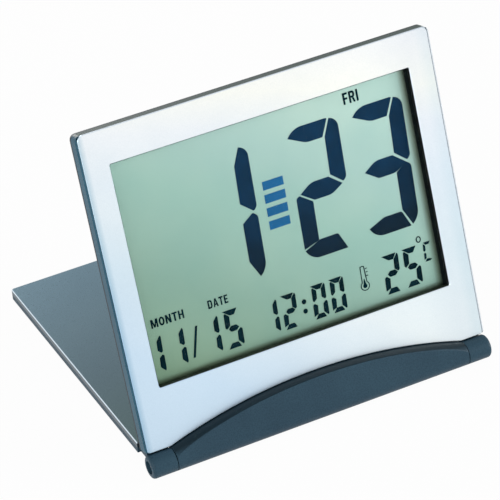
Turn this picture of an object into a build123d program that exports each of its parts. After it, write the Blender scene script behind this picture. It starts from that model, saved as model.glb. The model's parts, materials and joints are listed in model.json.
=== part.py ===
from build123d import *
import math
import os

# Folding travel alarm clock. A slim display case leans on a lid that opens behind it
# as a stand. Millimetres, +Z up, origin under the middle of the object on the table.
#
# Most pieces are drawn flat in one of two frames that share the hinge axis as their X axis:
#   case frame: x to the right, y up the face from the hinge axis, z out of the face
#   lid frame:  x to the right, y away from the hinge axis, z out of the lid's outer side
# Depths in the case are counted from the front of the face plate, so they are negative z.

# Face and case
FACE_WIDTH = 130.0
FACE_HEIGHT = 113.0
FACE_SHEET = 0.8
FACE_CORNER = 2.1
FACE_EDGE = 0.2
CASE_LIP = 0.7
LIP_SETBACK = 0.2
LIP_EDGE = 0.4
PLATE_CLEARANCE = 0.1
CASE_LOWER_CORNER = 1.0
CASE_WALL = 1.5
FRAME_DEPTH = 4.2
FRONT_WALL = 1.2
SIDE_DEPTH = 5.2
REAR_DEPTH = 9.2
REAR_WALL = 1.2
SHOULDER_INSET = 6.0
SHOULDER_WALL = 1.2
SHOULDER_CORNER = 4.0

# Window and display stack
WINDOW_SIDE_MARGIN = 9.1
WINDOW_TOP_MARGIN = 12.2
WINDOW_LOW_MARGIN = 21.1
WINDOW_CORNER = 0.6
LCD_MARGIN = 2.5
LCD_LEDGE = 4.0
LCD_FIT = 0.2
LENS_SHEET = 0.8
GLASS_SHEET = 0.7
REFLECTOR_SHEET = 0.3
FOAM_SHEET = 0.5
FOAM_INSET = 1.0
RIB_WALL = 0.8
CONNECTOR_WIDTH = 3.0
CONNECTOR_END_MARGIN = 6.0

# Circuit board and what sits on it
BOARD_SHEET = 1.0
BOARD_SIDE_MARGIN = 6.0
BOARD_SCREW_INSET = 9.9
BOARD_BOSS_RADIUS = 2.0
BOARD_EDGE = 2.2
CHIP_COVER_FROM_MIDDLE = (2.0, -2.3)
CHIP_COVER_RADIUS = 6.5
CHIP_COVER_HEIGHT = 1.1
CRYSTAL_FROM_CHIP = (-16.0, 12.0)
CRYSTAL_RADIUS = 0.8
CRYSTAL_LENGTH = 6.0
SENSOR_INSET = 6.0
SENSOR_RISE = 4.8
SENSOR_RADIUS = 0.7
SENSOR_LENGTH = 2.4
SMALL_CHIPS_FROM_CHIP = (-8.0, 15.5)
SMALL_CHIP_PITCH = 4.5
SMALL_CHIP_COUNT = 6
SMALL_CHIP_SIZE = (2.0, 1.3, 0.6)

# Coin cell, its contacts and its door
CELL_INSET = 24.0
CELL_DROP = 12.0
CELL_RADIUS = 10.0
CELL_THICKNESS = 2.5
CELL_ROOM = 0.9
CELL_LEAF = 0.2
CELL_LEAF_WIDTH = 5.0
CELL_LEAF_RISE = 0.15
CELL_CLIP_SHEET = 0.3
CELL_CLIP_WIDTH = 5.0
CELL_CLIP_FOOT = 4.0
DOOR_RADIUS = 12.4
DOOR_CLEARANCE = 0.1
DOOR_RING = 1.7
DOOR_RING_DEPTH = 0.6
DOOR_LUG_REACH = 1.6
DOOR_LUG_ANGLE = 30.0
DOOR_TURN = 45.0
DOOR_SLOT_LENGTH = 14.0
DOOR_SLOT_WIDTH = 1.6
DOOR_SLOT_DEPTH = 0.7

# Keys and alarm switch on the back
KEY_NAMES = ("mode_button", "set_button", "snooze_button", "down_button", "up_button")
OUTER_KEY_INSET = 14.0
KEY_ROW_DROP = 20.2
KEY_LENGTH = 11.0
KEY_WIDTH = 6.0
KEY_PROUD = 0.6
KEY_CLEARANCE = 0.15
KEY_EDGE = 0.4
KEY_FLANGE = 0.8
KEY_FLANGE_SHEET = 0.6
KEY_STEM_RADIUS = 1.6
KEY_TRAVEL = 0.4
KEY_STEM_GAP = 0.1
KEYPAD_SHEET = 0.3
KEYPAD_MARGIN = 3.0
KEYPAD_DOME_RADIUS = 2.4
KEYPAD_DOME_HEIGHT = 0.3
SWITCH_INSET = 16.0
SWITCH_RISE = 2.0
SWITCH_NECK = (3.0, 2.4)
SWITCH_TRAVEL = 2.0
SWITCH_CLEARANCE = 0.15
SWITCH_PROUD = 0.5
SWITCH_FLANGE_SHEET = 0.5
SWITCH_FLANGE_EDGE = 0.8
SWITCH_HOUSING = (9.0, 4.0, 1.0)
SWITCH_STEM_GAP = 0.1

# Buzzer
BUZZER_INSET = 22.0
BUZZER_RISE = 21.6
BUZZER_RADIUS = 10.0
BUZZER_SHEET = 0.4
BUZZER_CERAMIC_RADIUS = 7.0
BUZZER_CERAMIC_SHEET = 0.25
BUZZER_HOLE_RADIUS = 0.8
BUZZER_HOLE_RING = 4.0
BUZZER_HOLE_COUNT = 6
BUZZER_LEAF = 0.2
BUZZER_LEAF_WIDTH = 1.6
BUZZER_LEAF_FOOT = 2.5

# Screws
SCREW_SHANK = 1.0
SCREW_HEAD = 1.9
SCREW_HEAD_SHEET = 0.7
SCREW_CROSS_WIDTH = 0.5
SCREW_CROSS_DEPTH = 0.4
CASE_SCREW_EDGE = 4.2
CASE_SCREW_END = 8.0
CASE_SCREW_SEAT = 6.2
CASE_BOSS_RADIUS = 2.5
CASE_BOSS_DEPTH = 4.8
CASE_TUBE_WALL = 1.1
SCREW_CLEARANCE = 0.2
SCREW_BITE = 3.4
SPINE_SCREW_INSET = 32.8
SPINE_SCREW_RISE = 3.9

# Hinge
BARREL_RADIUS = 4.2
CASE_GAP = 0.5
KNUCKLE_LENGTH = 9.0
KNUCKLE_EDGE = 1.2
SEAM_GAP = 0.3
ARCH_RISE = 8.4
TAB_CLEARANCE = 0.25
TAB_EDGE = 0.6
SADDLE_DEPTH = 4.0
PIN_RADIUS = 1.5
PIN_RECESS_RADIUS = 2.4
PIN_RECESS_DEPTH = 1.0
PIN_GRIP = 11.0
PIN_TIP_ROOM = 1.0
PIN_CLEARANCE = 0.05
BUSH_WALL = 0.8
OPEN_ANGLE = 73.7

# Lid
LID_DEPTH = 117.6
LID_GAP = 0.8
LID_THICKNESS = 4.0
LID_SHEET = 0.8
LID_RIM = 2.0
LID_CORNER = 1.0
LID_EDGE = 0.3
LID_FLOOR = 1.2
LID_WALL = 2.4
LID_FIT = 0.1
LID_ARCH_CLEARANCE = 0.45
LID_STOP_GAP = 0.3
LID_RIB = 1.2
LID_RIB_COUNT = 5
PAD_LENGTH = 26.0
PAD_WIDTH = 5.0
PAD_SIDE_MARGIN = 6.0
PAD_REAR_MARGIN = 4.6
PAD_PROUD = 0.45
PAD_SEAT = 0.6

# Heights in the case frame
face_low = BARREL_RADIUS + CASE_GAP
face_top = face_low + FACE_HEIGHT
window_top = face_top - WINDOW_TOP_MARGIN
window_low = face_low + WINDOW_LOW_MARGIN
lcd_top = window_top + LCD_MARGIN
rear_glass_low = window_low - LCD_MARGIN / 2
front_glass_low = rear_glass_low - LCD_LEDGE

# Half widths
case_half = FACE_WIDTH / 2 + CASE_LIP
window_half = FACE_WIDTH / 2 - WINDOW_SIDE_MARGIN
lcd_half = window_half + LCD_MARGIN
board_half = window_half - BOARD_SIDE_MARGIN
spine_half = case_half - KNUCKLE_LENGTH - SEAM_GAP
knuckle_inner = case_half - KNUCKLE_LENGTH

# Depths in the case frame
wall_back = -FACE_SHEET - FRONT_WALL
lens_back = wall_back - LENS_SHEET
front_glass_back = lens_back - GLASS_SHEET
rear_glass_back = front_glass_back - GLASS_SHEET
reflector_back = rear_glass_back - REFLECTOR_SHEET
board_front = reflector_back - FOAM_SHEET
board_back = board_front - BOARD_SHEET
cell_front = board_front - CELL_LEAF - CELL_LEAF_RISE
cell_back = cell_front - CELL_THICKNESS
rear_inner = -(REAR_DEPTH - REAR_WALL)

# Angles of the standing clock: the lid tips back until its pads and the barrel share a floor
pad_y = LID_DEPTH - PAD_REAR_MARGIN
pad_reach = math.hypot(pad_y, LID_GAP)
lid_tilt = math.degrees(math.acos((PAD_PROUD - BARREL_RADIUS) / pad_reach) - math.atan2(pad_y, LID_GAP))
case_angle = OPEN_ANGLE - lid_tilt

# Heights in the lid frame
lid_top = LID_GAP + LID_THICKNESS
lid_rim_low = lid_top - LID_RIM
lid_under_sheet = lid_top - LID_SHEET
lid_floor_top = LID_GAP + LID_FLOOR

# The lid's front edge is the stop: it lies just behind the sloped shoulder of the rear cover
shoulder_slope = (REAR_DEPTH - SIDE_DEPTH) / SHOULDER_INSET
open_sin = math.sin(math.radians(OPEN_ANGLE))
open_cos = math.cos(math.radians(OPEN_ANGLE))
stop_rise = lid_top - face_low * open_sin + SIDE_DEPTH * open_cos
stop_inset = stop_rise / (open_sin - shoulder_slope * open_cos)
stop_depth = SIDE_DEPTH + shoulder_slope * stop_inset
lid_front = (face_low + stop_inset) * open_cos + stop_depth * open_sin + LID_STOP_GAP

# Places of the two frames
tilt = math.radians(lid_tilt)
lid_reach = LID_DEPTH * math.cos(tilt) + lid_top * math.sin(tilt)
hinge_y = (BARREL_RADIUS - lid_reach) / 2
case_place = Location((0, hinge_y, BARREL_RADIUS), (case_angle, 0, 0))
lid_place = Location((0, hinge_y, BARREL_RADIUS), (-lid_tilt, 0, 0))


# Drawing helpers

def sheet_outline(half_width, low, high, top_radius, low_radius):
    """Flat rectangle with rounded upper and lower corners."""
    outline = Pos(0, (low + high) / 2) * Rectangle(2 * half_width, high - low)
    outline = fillet(outline.vertices().group_by(Axis.Y)[-1], top_radius)
    return fillet(outline.vertices().group_by(Axis.Y)[0], low_radius)


def prism(outline, back, front):
    """Flat outline drawn out from one depth to another."""
    return Pos(0, 0, back) * extrude(outline, front - back)


def block(x_range, y_range, z_range):
    """Box between three pairs of limits."""
    size = [high - low for low, high in (x_range, y_range, z_range)]
    middle = [(high + low) / 2 for low, high in (x_range, y_range, z_range)]
    return Pos(*middle) * Box(*size)


def disc(centre, radius, back, front):
    """Round plate or peg that stands along z."""
    return prism(Pos(*centre) * Circle(radius), back, front)


def rod(radius, start, end):
    """Round bar along x, on the hinge axis."""
    return Pos((start + end) / 2, 0, 0) * Rot(0, 90, 0) * Cylinder(radius, end - start)


def slot_prism(centre, length, width, back, front):
    """Round-ended bar along x, drawn out along z."""
    return prism(Pos(*centre) * SlotOverall(length, width), back, front)


def strip(points, middle_x, width):
    """Bent strip: its side view in y and z, drawn out across x."""
    side = make_face(Polyline(*points, close=True))
    return Pos(middle_x, 0, 0) * extrude(Plane.YZ * side, width / 2, both=True)


def arch_outline(grow):
    """Region between the hinge axis and the arched lower edge of the face."""
    low = face_low + grow
    arc = ThreePointArc((-spine_half, low), (0, low + ARCH_RISE), (spine_half, low))
    base = Polyline((spine_half, low), (spine_half, 0), (-spine_half, 0), (-spine_half, low))
    return make_face(arc + base)


def both_sides(make):
    """The same piece at the left and at the right."""
    return make(-1) + make(1)


def screw(centre, seat, length):
    """Pan-head screw driven forwards from its seat, with a cross recess."""
    head_back = seat - SCREW_HEAD_SHEET
    body = disc(centre, SCREW_HEAD, head_back, seat) + disc(centre, SCREW_SHANK, seat, seat + length)
    reach = SCREW_HEAD - SCREW_CROSS_WIDTH
    recess = Rectangle(2 * reach, SCREW_CROSS_WIDTH) + Rectangle(SCREW_CROSS_WIDTH, 2 * reach)
    return body - prism(Pos(*centre) * recess, head_back, head_back + SCREW_CROSS_DEPTH)


# Places that several pieces share

case_screw_x = case_half - CASE_SCREW_EDGE
case_screw_ys = (face_low + CASE_SCREW_END, (face_low + face_top) / 2, face_top - CASE_SCREW_END)
case_screw_at = [(side * case_screw_x, y) for side in (-1, 1) for y in case_screw_ys]
board_screw_low = front_glass_low - LCD_FIT - BOARD_BOSS_RADIUS
board_screw_top = lcd_top + LCD_FIT + BOARD_BOSS_RADIUS
board_screw_x = board_half - BOARD_SCREW_INSET
board_screw_at = [(side * board_screw_x, y) for side in (-1, 1) for y in (board_screw_low, board_screw_top)]
board_low = board_screw_low - BOARD_EDGE
board_top = board_screw_top + BOARD_EDGE
spine_screw_x = spine_half - SPINE_SCREW_INSET
spine_screw_at = [(side * spine_screw_x, face_low + SPINE_SCREW_RISE) for side in (-1, 1)]
case_screw_length = SCREW_BITE + CASE_SCREW_SEAT - CASE_BOSS_DEPTH
board_screw_length = board_back - board_front + SCREW_BITE
spine_screw_length = FRONT_WALL + SCREW_BITE
switch_slot = SWITCH_NECK[0] + SWITCH_TRAVEL + 2 * SWITCH_CLEARANCE

# Places on the board, from its edges, its middle or the clock chip
board_middle = (board_low + board_top) / 2
chip_cover_at = (CHIP_COVER_FROM_MIDDLE[0], board_middle + CHIP_COVER_FROM_MIDDLE[1])
crystal_at = (chip_cover_at[0] + CRYSTAL_FROM_CHIP[0], chip_cover_at[1] + CRYSTAL_FROM_CHIP[1])
small_chip_x = chip_cover_at[0] + SMALL_CHIPS_FROM_CHIP[0]
small_chip_y = chip_cover_at[1] + SMALL_CHIPS_FROM_CHIP[1]
sensor_at = (board_half - SENSOR_INSET, board_low + SENSOR_RISE)
cell_at = (board_half - CELL_INSET, board_middle - CELL_DROP)
switch_at = (SWITCH_INSET - board_half, board_middle + SWITCH_RISE)
buzzer_at = (BUZZER_INSET - board_half, board_low + BUZZER_RISE)
outer_key_x = board_half - OUTER_KEY_INSET
key_row_y = board_top - KEY_ROW_DROP
key_pitch = 2 * outer_key_x / (len(KEY_NAMES) - 1)
key_at = [(number * key_pitch - outer_key_x, key_row_y) for number in range(len(KEY_NAMES))]


# Face and case

def case_outline(inset, top_radius, low_radius):
    """Outline of the case, drawn in by a margin."""
    return sheet_outline(case_half - inset, face_low + inset, face_top - inset, top_radius, low_radius)


def window_outline():
    """Opening over the display."""
    return sheet_outline(window_half, window_low, window_top, WINDOW_CORNER, WINDOW_CORNER)


def make_face_plate():
    """Bare metal face with its window and its arched lower edge."""
    plate = sheet_outline(FACE_WIDTH / 2, face_low, face_top, FACE_CORNER, CASE_LOWER_CORNER)
    sheet = prism(plate - arch_outline(0) - window_outline(), -FACE_SHEET, 0)
    return chamfer(sheet.faces().sort_by(Axis.Z)[-1].edges(), FACE_EDGE)


def make_front_frame():
    """Plastic frame that the face plate lies in, with the seats for display and screws."""
    outer = case_outline(0, FACE_CORNER, CASE_LOWER_CORNER)
    hollow = case_outline(CASE_WALL, FACE_CORNER - CASE_WALL, CASE_LOWER_CORNER)
    plate_half = FACE_WIDTH / 2 + PLATE_CLEARANCE
    plate_room = Pos(0, face_top / 2) * Rectangle(2 * plate_half, 2 * face_top)
    frame = prism(outer, -FRAME_DEPTH, -LIP_SETBACK)
    frame = fillet(frame.faces().sort_by(Axis.Z)[-1].edges(), LIP_EDGE)
    frame -= prism(plate_room, -FACE_SHEET, 0)
    frame -= prism(hollow, -FRAME_DEPTH, wall_back)
    rib_half = lcd_half + LCD_FIT
    rib_low = front_glass_low - LCD_FIT
    rib_top = lcd_top + LCD_FIT
    rib_room = sheet_outline(rib_half, rib_low, rib_top, WINDOW_CORNER, WINDOW_CORNER)
    rib_outer = sheet_outline(
        rib_half + RIB_WALL, rib_low - RIB_WALL, rib_top + RIB_WALL, WINDOW_CORNER, WINDOW_CORNER
    )
    frame += prism(rib_outer, rear_glass_back, wall_back)
    for centre in case_screw_at:
        frame += disc(centre, CASE_BOSS_RADIUS, -CASE_BOSS_DEPTH, wall_back)
    for centre in board_screw_at:
        frame += disc(centre, BOARD_BOSS_RADIUS, board_front, wall_back)
    frame -= prism(rib_room, board_front, wall_back)
    frame -= prism(window_outline(), wall_back, 0)
    for centre in case_screw_at:
        frame -= disc(centre, SCREW_SHANK, -CASE_BOSS_DEPTH, -CASE_BOSS_DEPTH + SCREW_BITE)
    for centre in board_screw_at:
        frame -= disc(centre, SCREW_SHANK, board_front, board_front + SCREW_BITE)
    for centre in spine_screw_at:
        frame -= disc(centre, SCREW_SHANK, wall_back, 0)
    return frame


def shoulder_depth(inset):
    """Depth of the rear cover's inner shoulder at a distance in from the edge."""
    thickness = SHOULDER_WALL * math.hypot(1, shoulder_slope)
    return -SIDE_DEPTH - shoulder_slope * inset + thickness


def make_rear_cover():
    """Dished rear cover with its openings and screw tubes."""
    edge = case_outline(0, FACE_CORNER, CASE_LOWER_CORNER)
    plateau = case_outline(SHOULDER_INSET, SHOULDER_CORNER, SHOULDER_CORNER)
    cover = prism(edge, -SIDE_DEPTH, -FRAME_DEPTH)
    cover += loft([Pos(0, 0, -SIDE_DEPTH) * edge, Pos(0, 0, -REAR_DEPTH) * plateau], ruled=True)
    tubes = Part()
    for centre in case_screw_at:
        tube_radius = CASE_BOSS_RADIUS + CASE_TUBE_WALL
        tubes += disc(centre, tube_radius, -REAR_DEPTH, -CASE_BOSS_DEPTH) & cover
    inner_start = shoulder_depth(CASE_WALL)
    inner_inset = (shoulder_depth(0) - rear_inner) / shoulder_slope
    inner_edge = case_outline(CASE_WALL, FACE_CORNER - CASE_WALL, CASE_LOWER_CORNER)
    inner_plateau = case_outline(inner_inset, SHOULDER_CORNER, SHOULDER_CORNER)
    hollow = prism(inner_edge, inner_start, -FRAME_DEPTH)
    hollow += loft([Pos(0, 0, inner_start) * inner_edge, Pos(0, 0, rear_inner) * inner_plateau], ruled=True)
    cover -= hollow
    cover += tubes
    for centre in case_screw_at:
        cover -= disc(centre, SCREW_HEAD + SCREW_CLEARANCE, -REAR_DEPTH, -CASE_SCREW_SEAT)
        cover -= disc(centre, SCREW_SHANK + SCREW_CLEARANCE, -REAR_DEPTH, -CASE_BOSS_DEPTH)
    for centre in key_at:
        opening_length = KEY_LENGTH + 2 * KEY_CLEARANCE
        opening_width = KEY_WIDTH + 2 * KEY_CLEARANCE
        cover -= slot_prism(centre, opening_length, opening_width, -REAR_DEPTH, rear_inner)
    slot_centre = (switch_at[0] + SWITCH_TRAVEL / 2, switch_at[1])
    slot_width = SWITCH_NECK[1] + 2 * SWITCH_CLEARANCE
    cover -= prism(Pos(*slot_centre) * Rectangle(switch_slot, slot_width), -REAR_DEPTH, rear_inner)
    cover -= prism(door_opening(), -REAR_DEPTH, rear_inner)
    cover -= prism(sound_holes(), -REAR_DEPTH, rear_inner)
    return cover


def sound_holes():
    """Middle hole and a ring of holes over the buzzer."""
    holes = Circle(BUZZER_HOLE_RADIUS)
    holes += PolarLocations(BUZZER_HOLE_RING, BUZZER_HOLE_COUNT) * Circle(BUZZER_HOLE_RADIUS)
    return Pos(*buzzer_at) * holes


def make_case_screws():
    """Screws that hold the rear cover to the frame."""
    screws = [screw(centre, -CASE_SCREW_SEAT, case_screw_length) for centre in case_screw_at]
    return Compound([piece.solid() for piece in screws])


# Display

def make_display_lens():
    """Clear sheet behind the window."""
    outline = sheet_outline(lcd_half, front_glass_low, lcd_top, WINDOW_CORNER, WINDOW_CORNER)
    return prism(outline, lens_back, wall_back)


def make_front_glass():
    """Display's front glass, with the contact ledge at its lower edge."""
    outline = Pos(0, (front_glass_low + lcd_top) / 2) * Rectangle(2 * lcd_half, lcd_top - front_glass_low)
    return prism(outline, front_glass_back, lens_back)


def behind_glass(inset, back, front):
    """Sheet of the display behind the front glass, above the contact ledge."""
    width = 2 * (lcd_half - inset)
    height = lcd_top - rear_glass_low - 2 * inset
    outline = Pos(0, (rear_glass_low + lcd_top) / 2) * Rectangle(width, height)
    return prism(outline, back, front)


def make_connector_strip():
    """Rubber connector strip between the glass ledge and the board."""
    half_length = lcd_half - CONNECTOR_END_MARGIN
    middle = (front_glass_low + rear_glass_low) / 2
    span = (middle - CONNECTOR_WIDTH / 2, middle + CONNECTOR_WIDTH / 2)
    return block((-half_length, half_length), span, (board_front, front_glass_back))


# Circuit board

def make_circuit_board():
    """Board with the opening for the coin cell and its screw holes."""
    outline = sheet_outline(board_half, board_low, board_top, BOARD_EDGE, BOARD_EDGE)
    outline -= Pos(*cell_at) * Circle(CELL_RADIUS + CELL_ROOM)
    for centre in board_screw_at:
        outline -= Pos(*centre) * Circle(SCREW_SHANK)
    return prism(outline, board_back, board_front)


def make_board_screws():
    """Screws that hold the board to the frame."""
    screws = [screw(centre, board_back, board_screw_length) for centre in board_screw_at]
    return Compound([piece.solid() for piece in screws])


def make_chip_cover():
    """Domed resin cover over the clock chip."""
    dome_radius = (CHIP_COVER_RADIUS**2 + CHIP_COVER_HEIGHT**2) / (2 * CHIP_COVER_HEIGHT)
    ball_z = board_back - CHIP_COVER_HEIGHT + dome_radius
    ball = Pos(*chip_cover_at, ball_z) * Sphere(dome_radius)
    return ball & disc(chip_cover_at, 2 * CHIP_COVER_RADIUS, board_back - 2 * CHIP_COVER_HEIGHT, board_back)


def lying_can(centre, radius, length):
    """Small round can lying on the back of the board, with a flat foot."""
    can = Rot(0, 90, 0) * Cylinder(radius, length)
    foot = Pos(0, 0, radius / 2) * Box(length, radius, radius)
    return Pos(*centre, board_back - radius) * (can + foot)


def make_small_chips():
    """Row of small chips on the back of the board."""
    length, width, height = SMALL_CHIP_SIZE
    chips = []
    for number in range(SMALL_CHIP_COUNT):
        centre = (small_chip_x + number * SMALL_CHIP_PITCH, small_chip_y)
        chips.append(Pos(*centre, board_back - height / 2) * Box(length, width, height))
    return Compound([chip.solid() for chip in chips])


# Coin cell and its door

def make_coin_cell():
    """Round cell, its smaller minus face to the front."""
    edge = CELL_LEAF_RISE
    cell = disc(cell_at, CELL_RADIUS, cell_back, cell_front)
    return fillet(cell.edges().filter_by(GeomType.CIRCLE), edge)


def make_minus_leaf():
    """Sprung strip across the board's opening, under the minus face."""
    half = CELL_RADIUS + CELL_ROOM
    leaf_back = board_front - CELL_LEAF
    crown = half / 4
    points = [
        (-half, board_front),
        (half, board_front),
        (half, leaf_back),
        (2 * crown, leaf_back),
        (crown, cell_front),
        (-crown, cell_front),
        (-2 * crown, leaf_back),
        (-half, leaf_back),
    ]
    leaf = strip(points, cell_at[0], CELL_LEAF_WIDTH)
    opening = disc((0, 0), half, cell_front, board_front)
    return Pos(0, cell_at[1], 0) * (leaf & (Pos(cell_at[0], 0, 0) * opening))


def make_plus_clip():
    """Angle clip on the board that presses on the cell's rim."""
    rim = cell_at[0] + CELL_RADIUS + CELL_LEAF_RISE
    foot = cell_at[0] + CELL_RADIUS + CELL_ROOM + CELL_CLIP_FOOT
    half = CELL_CLIP_WIDTH / 2
    span = (cell_at[1] - half, cell_at[1] + half)
    upright_back = rear_inner + DOOR_RING_DEPTH + CELL_CLIP_SHEET
    clip = block((rim, foot), span, (board_back - CELL_CLIP_SHEET, board_back))
    return clip + block((rim, rim + CELL_CLIP_SHEET), span, (upright_back, board_back))


def door_lugs(reach, extra_angle):
    """Two opposite sectors that stand out past the door's edge."""
    half_angle = math.radians(DOOR_LUG_ANGLE / 2 + extra_angle)
    far = 2 * reach
    tip_y = far * math.sin(half_angle)
    tip_x = far * math.cos(half_angle)
    wedge = make_face(Polyline((0, 0), (tip_x, -tip_y), (tip_x, tip_y), close=True))
    return Circle(reach) & (wedge + Rot(0, 0, 180) * wedge)


def door_opening():
    """Round opening with two notches, a part turn away from the lugs at rest."""
    reach = DOOR_RADIUS + DOOR_LUG_REACH + DOOR_CLEARANCE
    notches = Rot(0, 0, -DOOR_TURN) * door_lugs(reach, 2)
    return Pos(*cell_at) * (Circle(DOOR_RADIUS + DOOR_CLEARANCE) + notches)


def make_battery_door():
    """Round door with a coin slot outside, and a ring with two lugs inside."""
    ring_front = rear_inner + DOOR_RING_DEPTH
    ring = Circle(DOOR_RADIUS - DOOR_CLEARANCE) + door_lugs(DOOR_RADIUS + DOOR_LUG_REACH, 0)
    ring -= Circle(DOOR_RADIUS - DOOR_RING)
    door = disc((0, 0), DOOR_RADIUS, -REAR_DEPTH, rear_inner)
    door += prism(ring, rear_inner, ring_front)
    slot_back = -REAR_DEPTH + DOOR_SLOT_DEPTH
    door -= slot_prism((0, 0), DOOR_SLOT_LENGTH, DOOR_SLOT_WIDTH, -REAR_DEPTH, slot_back)
    return Pos(*cell_at, 0) * door


# Keys, switch and buzzer

def make_keypad():
    """Rubber sheet with one dome under each key."""
    half = outer_key_x + KEY_LENGTH / 2
    reach = KEY_WIDTH / 2 + KEYPAD_MARGIN
    pad_back = board_back - KEYPAD_SHEET
    pad = block((-half, half), (key_row_y - reach, key_row_y + reach), (pad_back, board_back))
    for centre in key_at:
        pad += disc(centre, KEYPAD_DOME_RADIUS, pad_back - KEYPAD_DOME_HEIGHT, pad_back)
    return pad


def make_key(centre):
    """Key cap that stands out of the back, with a flange that keeps it in."""
    cap_back = -REAR_DEPTH - KEY_PROUD
    flange_front = rear_inner + KEY_FLANGE_SHEET
    stem_front = board_back - KEYPAD_SHEET - KEYPAD_DOME_HEIGHT - KEY_TRAVEL - KEY_STEM_GAP
    cap = slot_prism(centre, KEY_LENGTH, KEY_WIDTH, cap_back, rear_inner)
    cap = fillet(cap.faces().sort_by(Axis.Z)[0].edges(), KEY_EDGE)
    flange_length = KEY_LENGTH + 2 * KEY_FLANGE
    flange_width = KEY_WIDTH + 2 * KEY_FLANGE
    cap += slot_prism(centre, flange_length, flange_width, rear_inner, flange_front)
    return cap + disc(centre, KEY_STEM_RADIUS, flange_front, stem_front)


def make_switch_housing():
    """Slide switch on the board."""
    length, width, height = SWITCH_HOUSING
    centre_x = switch_at[0] + SWITCH_TRAVEL / 2
    return Pos(centre_x, switch_at[1], board_back - height / 2) * Box(length, width, height)


def make_alarm_switch():
    """Slide knob that reaches out through its slot."""
    neck_length, neck_width = SWITCH_NECK
    flange_length = neck_length + 2 * (SWITCH_TRAVEL + SWITCH_FLANGE_EDGE)
    flange_width = neck_width + 2 * SWITCH_FLANGE_EDGE
    flange_front = rear_inner + SWITCH_FLANGE_SHEET
    stem_front = board_back - SWITCH_HOUSING[2] - SWITCH_STEM_GAP
    knob = prism(Rectangle(neck_length, neck_width), -REAR_DEPTH - SWITCH_PROUD, rear_inner)
    knob += prism(Rectangle(flange_length, flange_width), rear_inner, flange_front)
    knob += prism(Rectangle(neck_length, neck_width), flange_front, stem_front)
    return Pos(*switch_at, 0) * knob


buzzer_front = rear_inner + BUZZER_SHEET
ceramic_front = buzzer_front + BUZZER_CERAMIC_SHEET


def make_buzzer_contacts():
    """Two sprung leaves from the board to the buzzer's rim and to its ceramic."""
    leaves = []
    rim_middle = (BUZZER_RADIUS + BUZZER_CERAMIC_RADIUS) / 2
    for offset_x, tip in ((rim_middle, buzzer_front), (0, ceramic_front)):
        foot_end = BUZZER_LEAF_FOOT
        bend = board_back - tip
        points = [
            (0, board_back),
            (foot_end, board_back),
            (foot_end + bend, tip + BUZZER_LEAF),
            (foot_end + 2 * bend, tip + BUZZER_LEAF),
            (foot_end + 2 * bend, tip),
            (foot_end + bend - BUZZER_LEAF, tip),
            (foot_end - BUZZER_LEAF, board_back - BUZZER_LEAF),
            (0, board_back - BUZZER_LEAF),
        ]
        leaf = strip(points, buzzer_at[0] + offset_x, BUZZER_LEAF_WIDTH)
        leaves.append(Pos(0, buzzer_at[1] - foot_end - 1.5 * bend, 0) * leaf)
    return Compound([leaf.solid() for leaf in leaves])


# Hinge

bush_start = spine_half - PIN_GRIP
bush_radius = PIN_RADIUS + PIN_CLEARANCE + BUSH_WALL


def make_hinge_spine():
    """Barrel with the half-moon tab that stands proud of the face."""
    section = Circle(BARREL_RADIUS)
    tab_height = face_low + ARCH_RISE
    tab_depth = FACE_SHEET + BARREL_RADIUS
    tab_middle = (BARREL_RADIUS - FACE_SHEET) / 2
    section += Pos(tab_height / 2, tab_middle) * Rectangle(tab_height, tab_depth)
    saddle_depth = SADDLE_DEPTH + BARREL_RADIUS
    section += Pos(face_low / 2, (BARREL_RADIUS - SADDLE_DEPTH) / 2) * Rectangle(face_low, saddle_depth)
    bar = extrude(Plane.YZ * section, spine_half, both=True)
    spine = bar & revolve(arch_outline(-TAB_CLEARANCE), Axis.X)
    ridge = spine.edges().filter_by(lambda edge: edge.center().Z > BARREL_RADIUS - TAB_EDGE)
    ridge = ridge.filter_by(lambda edge: edge.center().Y > face_low and edge.length > spine_half)
    spine = fillet(ridge, TAB_EDGE)
    for side in (-1, 1):
        bore = (side * bush_start, side * spine_half)
        tip = (side * (bush_start - PIN_TIP_ROOM), side * spine_half)
        spine -= rod(bush_radius, min(bore), max(bore))
        spine -= rod(PIN_RADIUS + PIN_CLEARANCE, min(tip), max(tip))
    for centre in spine_screw_at:
        spine -= disc(centre, SCREW_SHANK, -FACE_SHEET, -FACE_SHEET + SCREW_BITE)
    return spine


def make_spine_screws():
    """Screws from inside the frame into the tab."""
    screws = [screw(centre, wall_back, spine_screw_length) for centre in spine_screw_at]
    return Compound([piece.solid() for piece in screws])


def make_hinge_bushes():
    """Plain bushes in the ends of the barrel."""
    bore = rod(PIN_RADIUS + PIN_CLEARANCE, bush_start, spine_half)
    sleeve = rod(bush_radius, bush_start, spine_half) - bore
    return Compound([sleeve.solid(), (Rot(0, 0, 180) * sleeve).solid()])


def make_hinge_pins():
    """Pins that are fast in the knuckles and turn in the bushes."""
    pin = rod(PIN_RADIUS, bush_start, case_half - PIN_RECESS_DEPTH)
    return Compound([pin.solid(), (Rot(0, 0, 180) * pin).solid()])


# Lid

def lid_outline(inset):
    """Outline of the lid with its arched front edge, drawn in by a margin."""
    low = lid_front + inset
    high = LID_DEPTH - inset
    outline = Pos(0, (low + high) / 2) * Rectangle(2 * (case_half - inset), high - low)
    outline = fillet(outline.vertices().group_by(Axis.Y)[-1], LID_CORNER)
    return outline - arch_outline(LID_ARCH_CLEARANCE + inset)


def make_lid_plate():
    """Pressed metal tray that is the outer side of the closed clock."""
    tray = prism(lid_outline(0), lid_rim_low, lid_top)
    tray = chamfer(tray.faces().sort_by(Axis.Z)[-1].edges(), LID_EDGE)
    return tray - prism(lid_outline(LID_SHEET), lid_rim_low, lid_under_sheet)


def pad_centre(side):
    """Middle of a rubber pad."""
    return (side * (case_half - PAD_SIDE_MARGIN - PAD_LENGTH / 2), pad_y)


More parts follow.
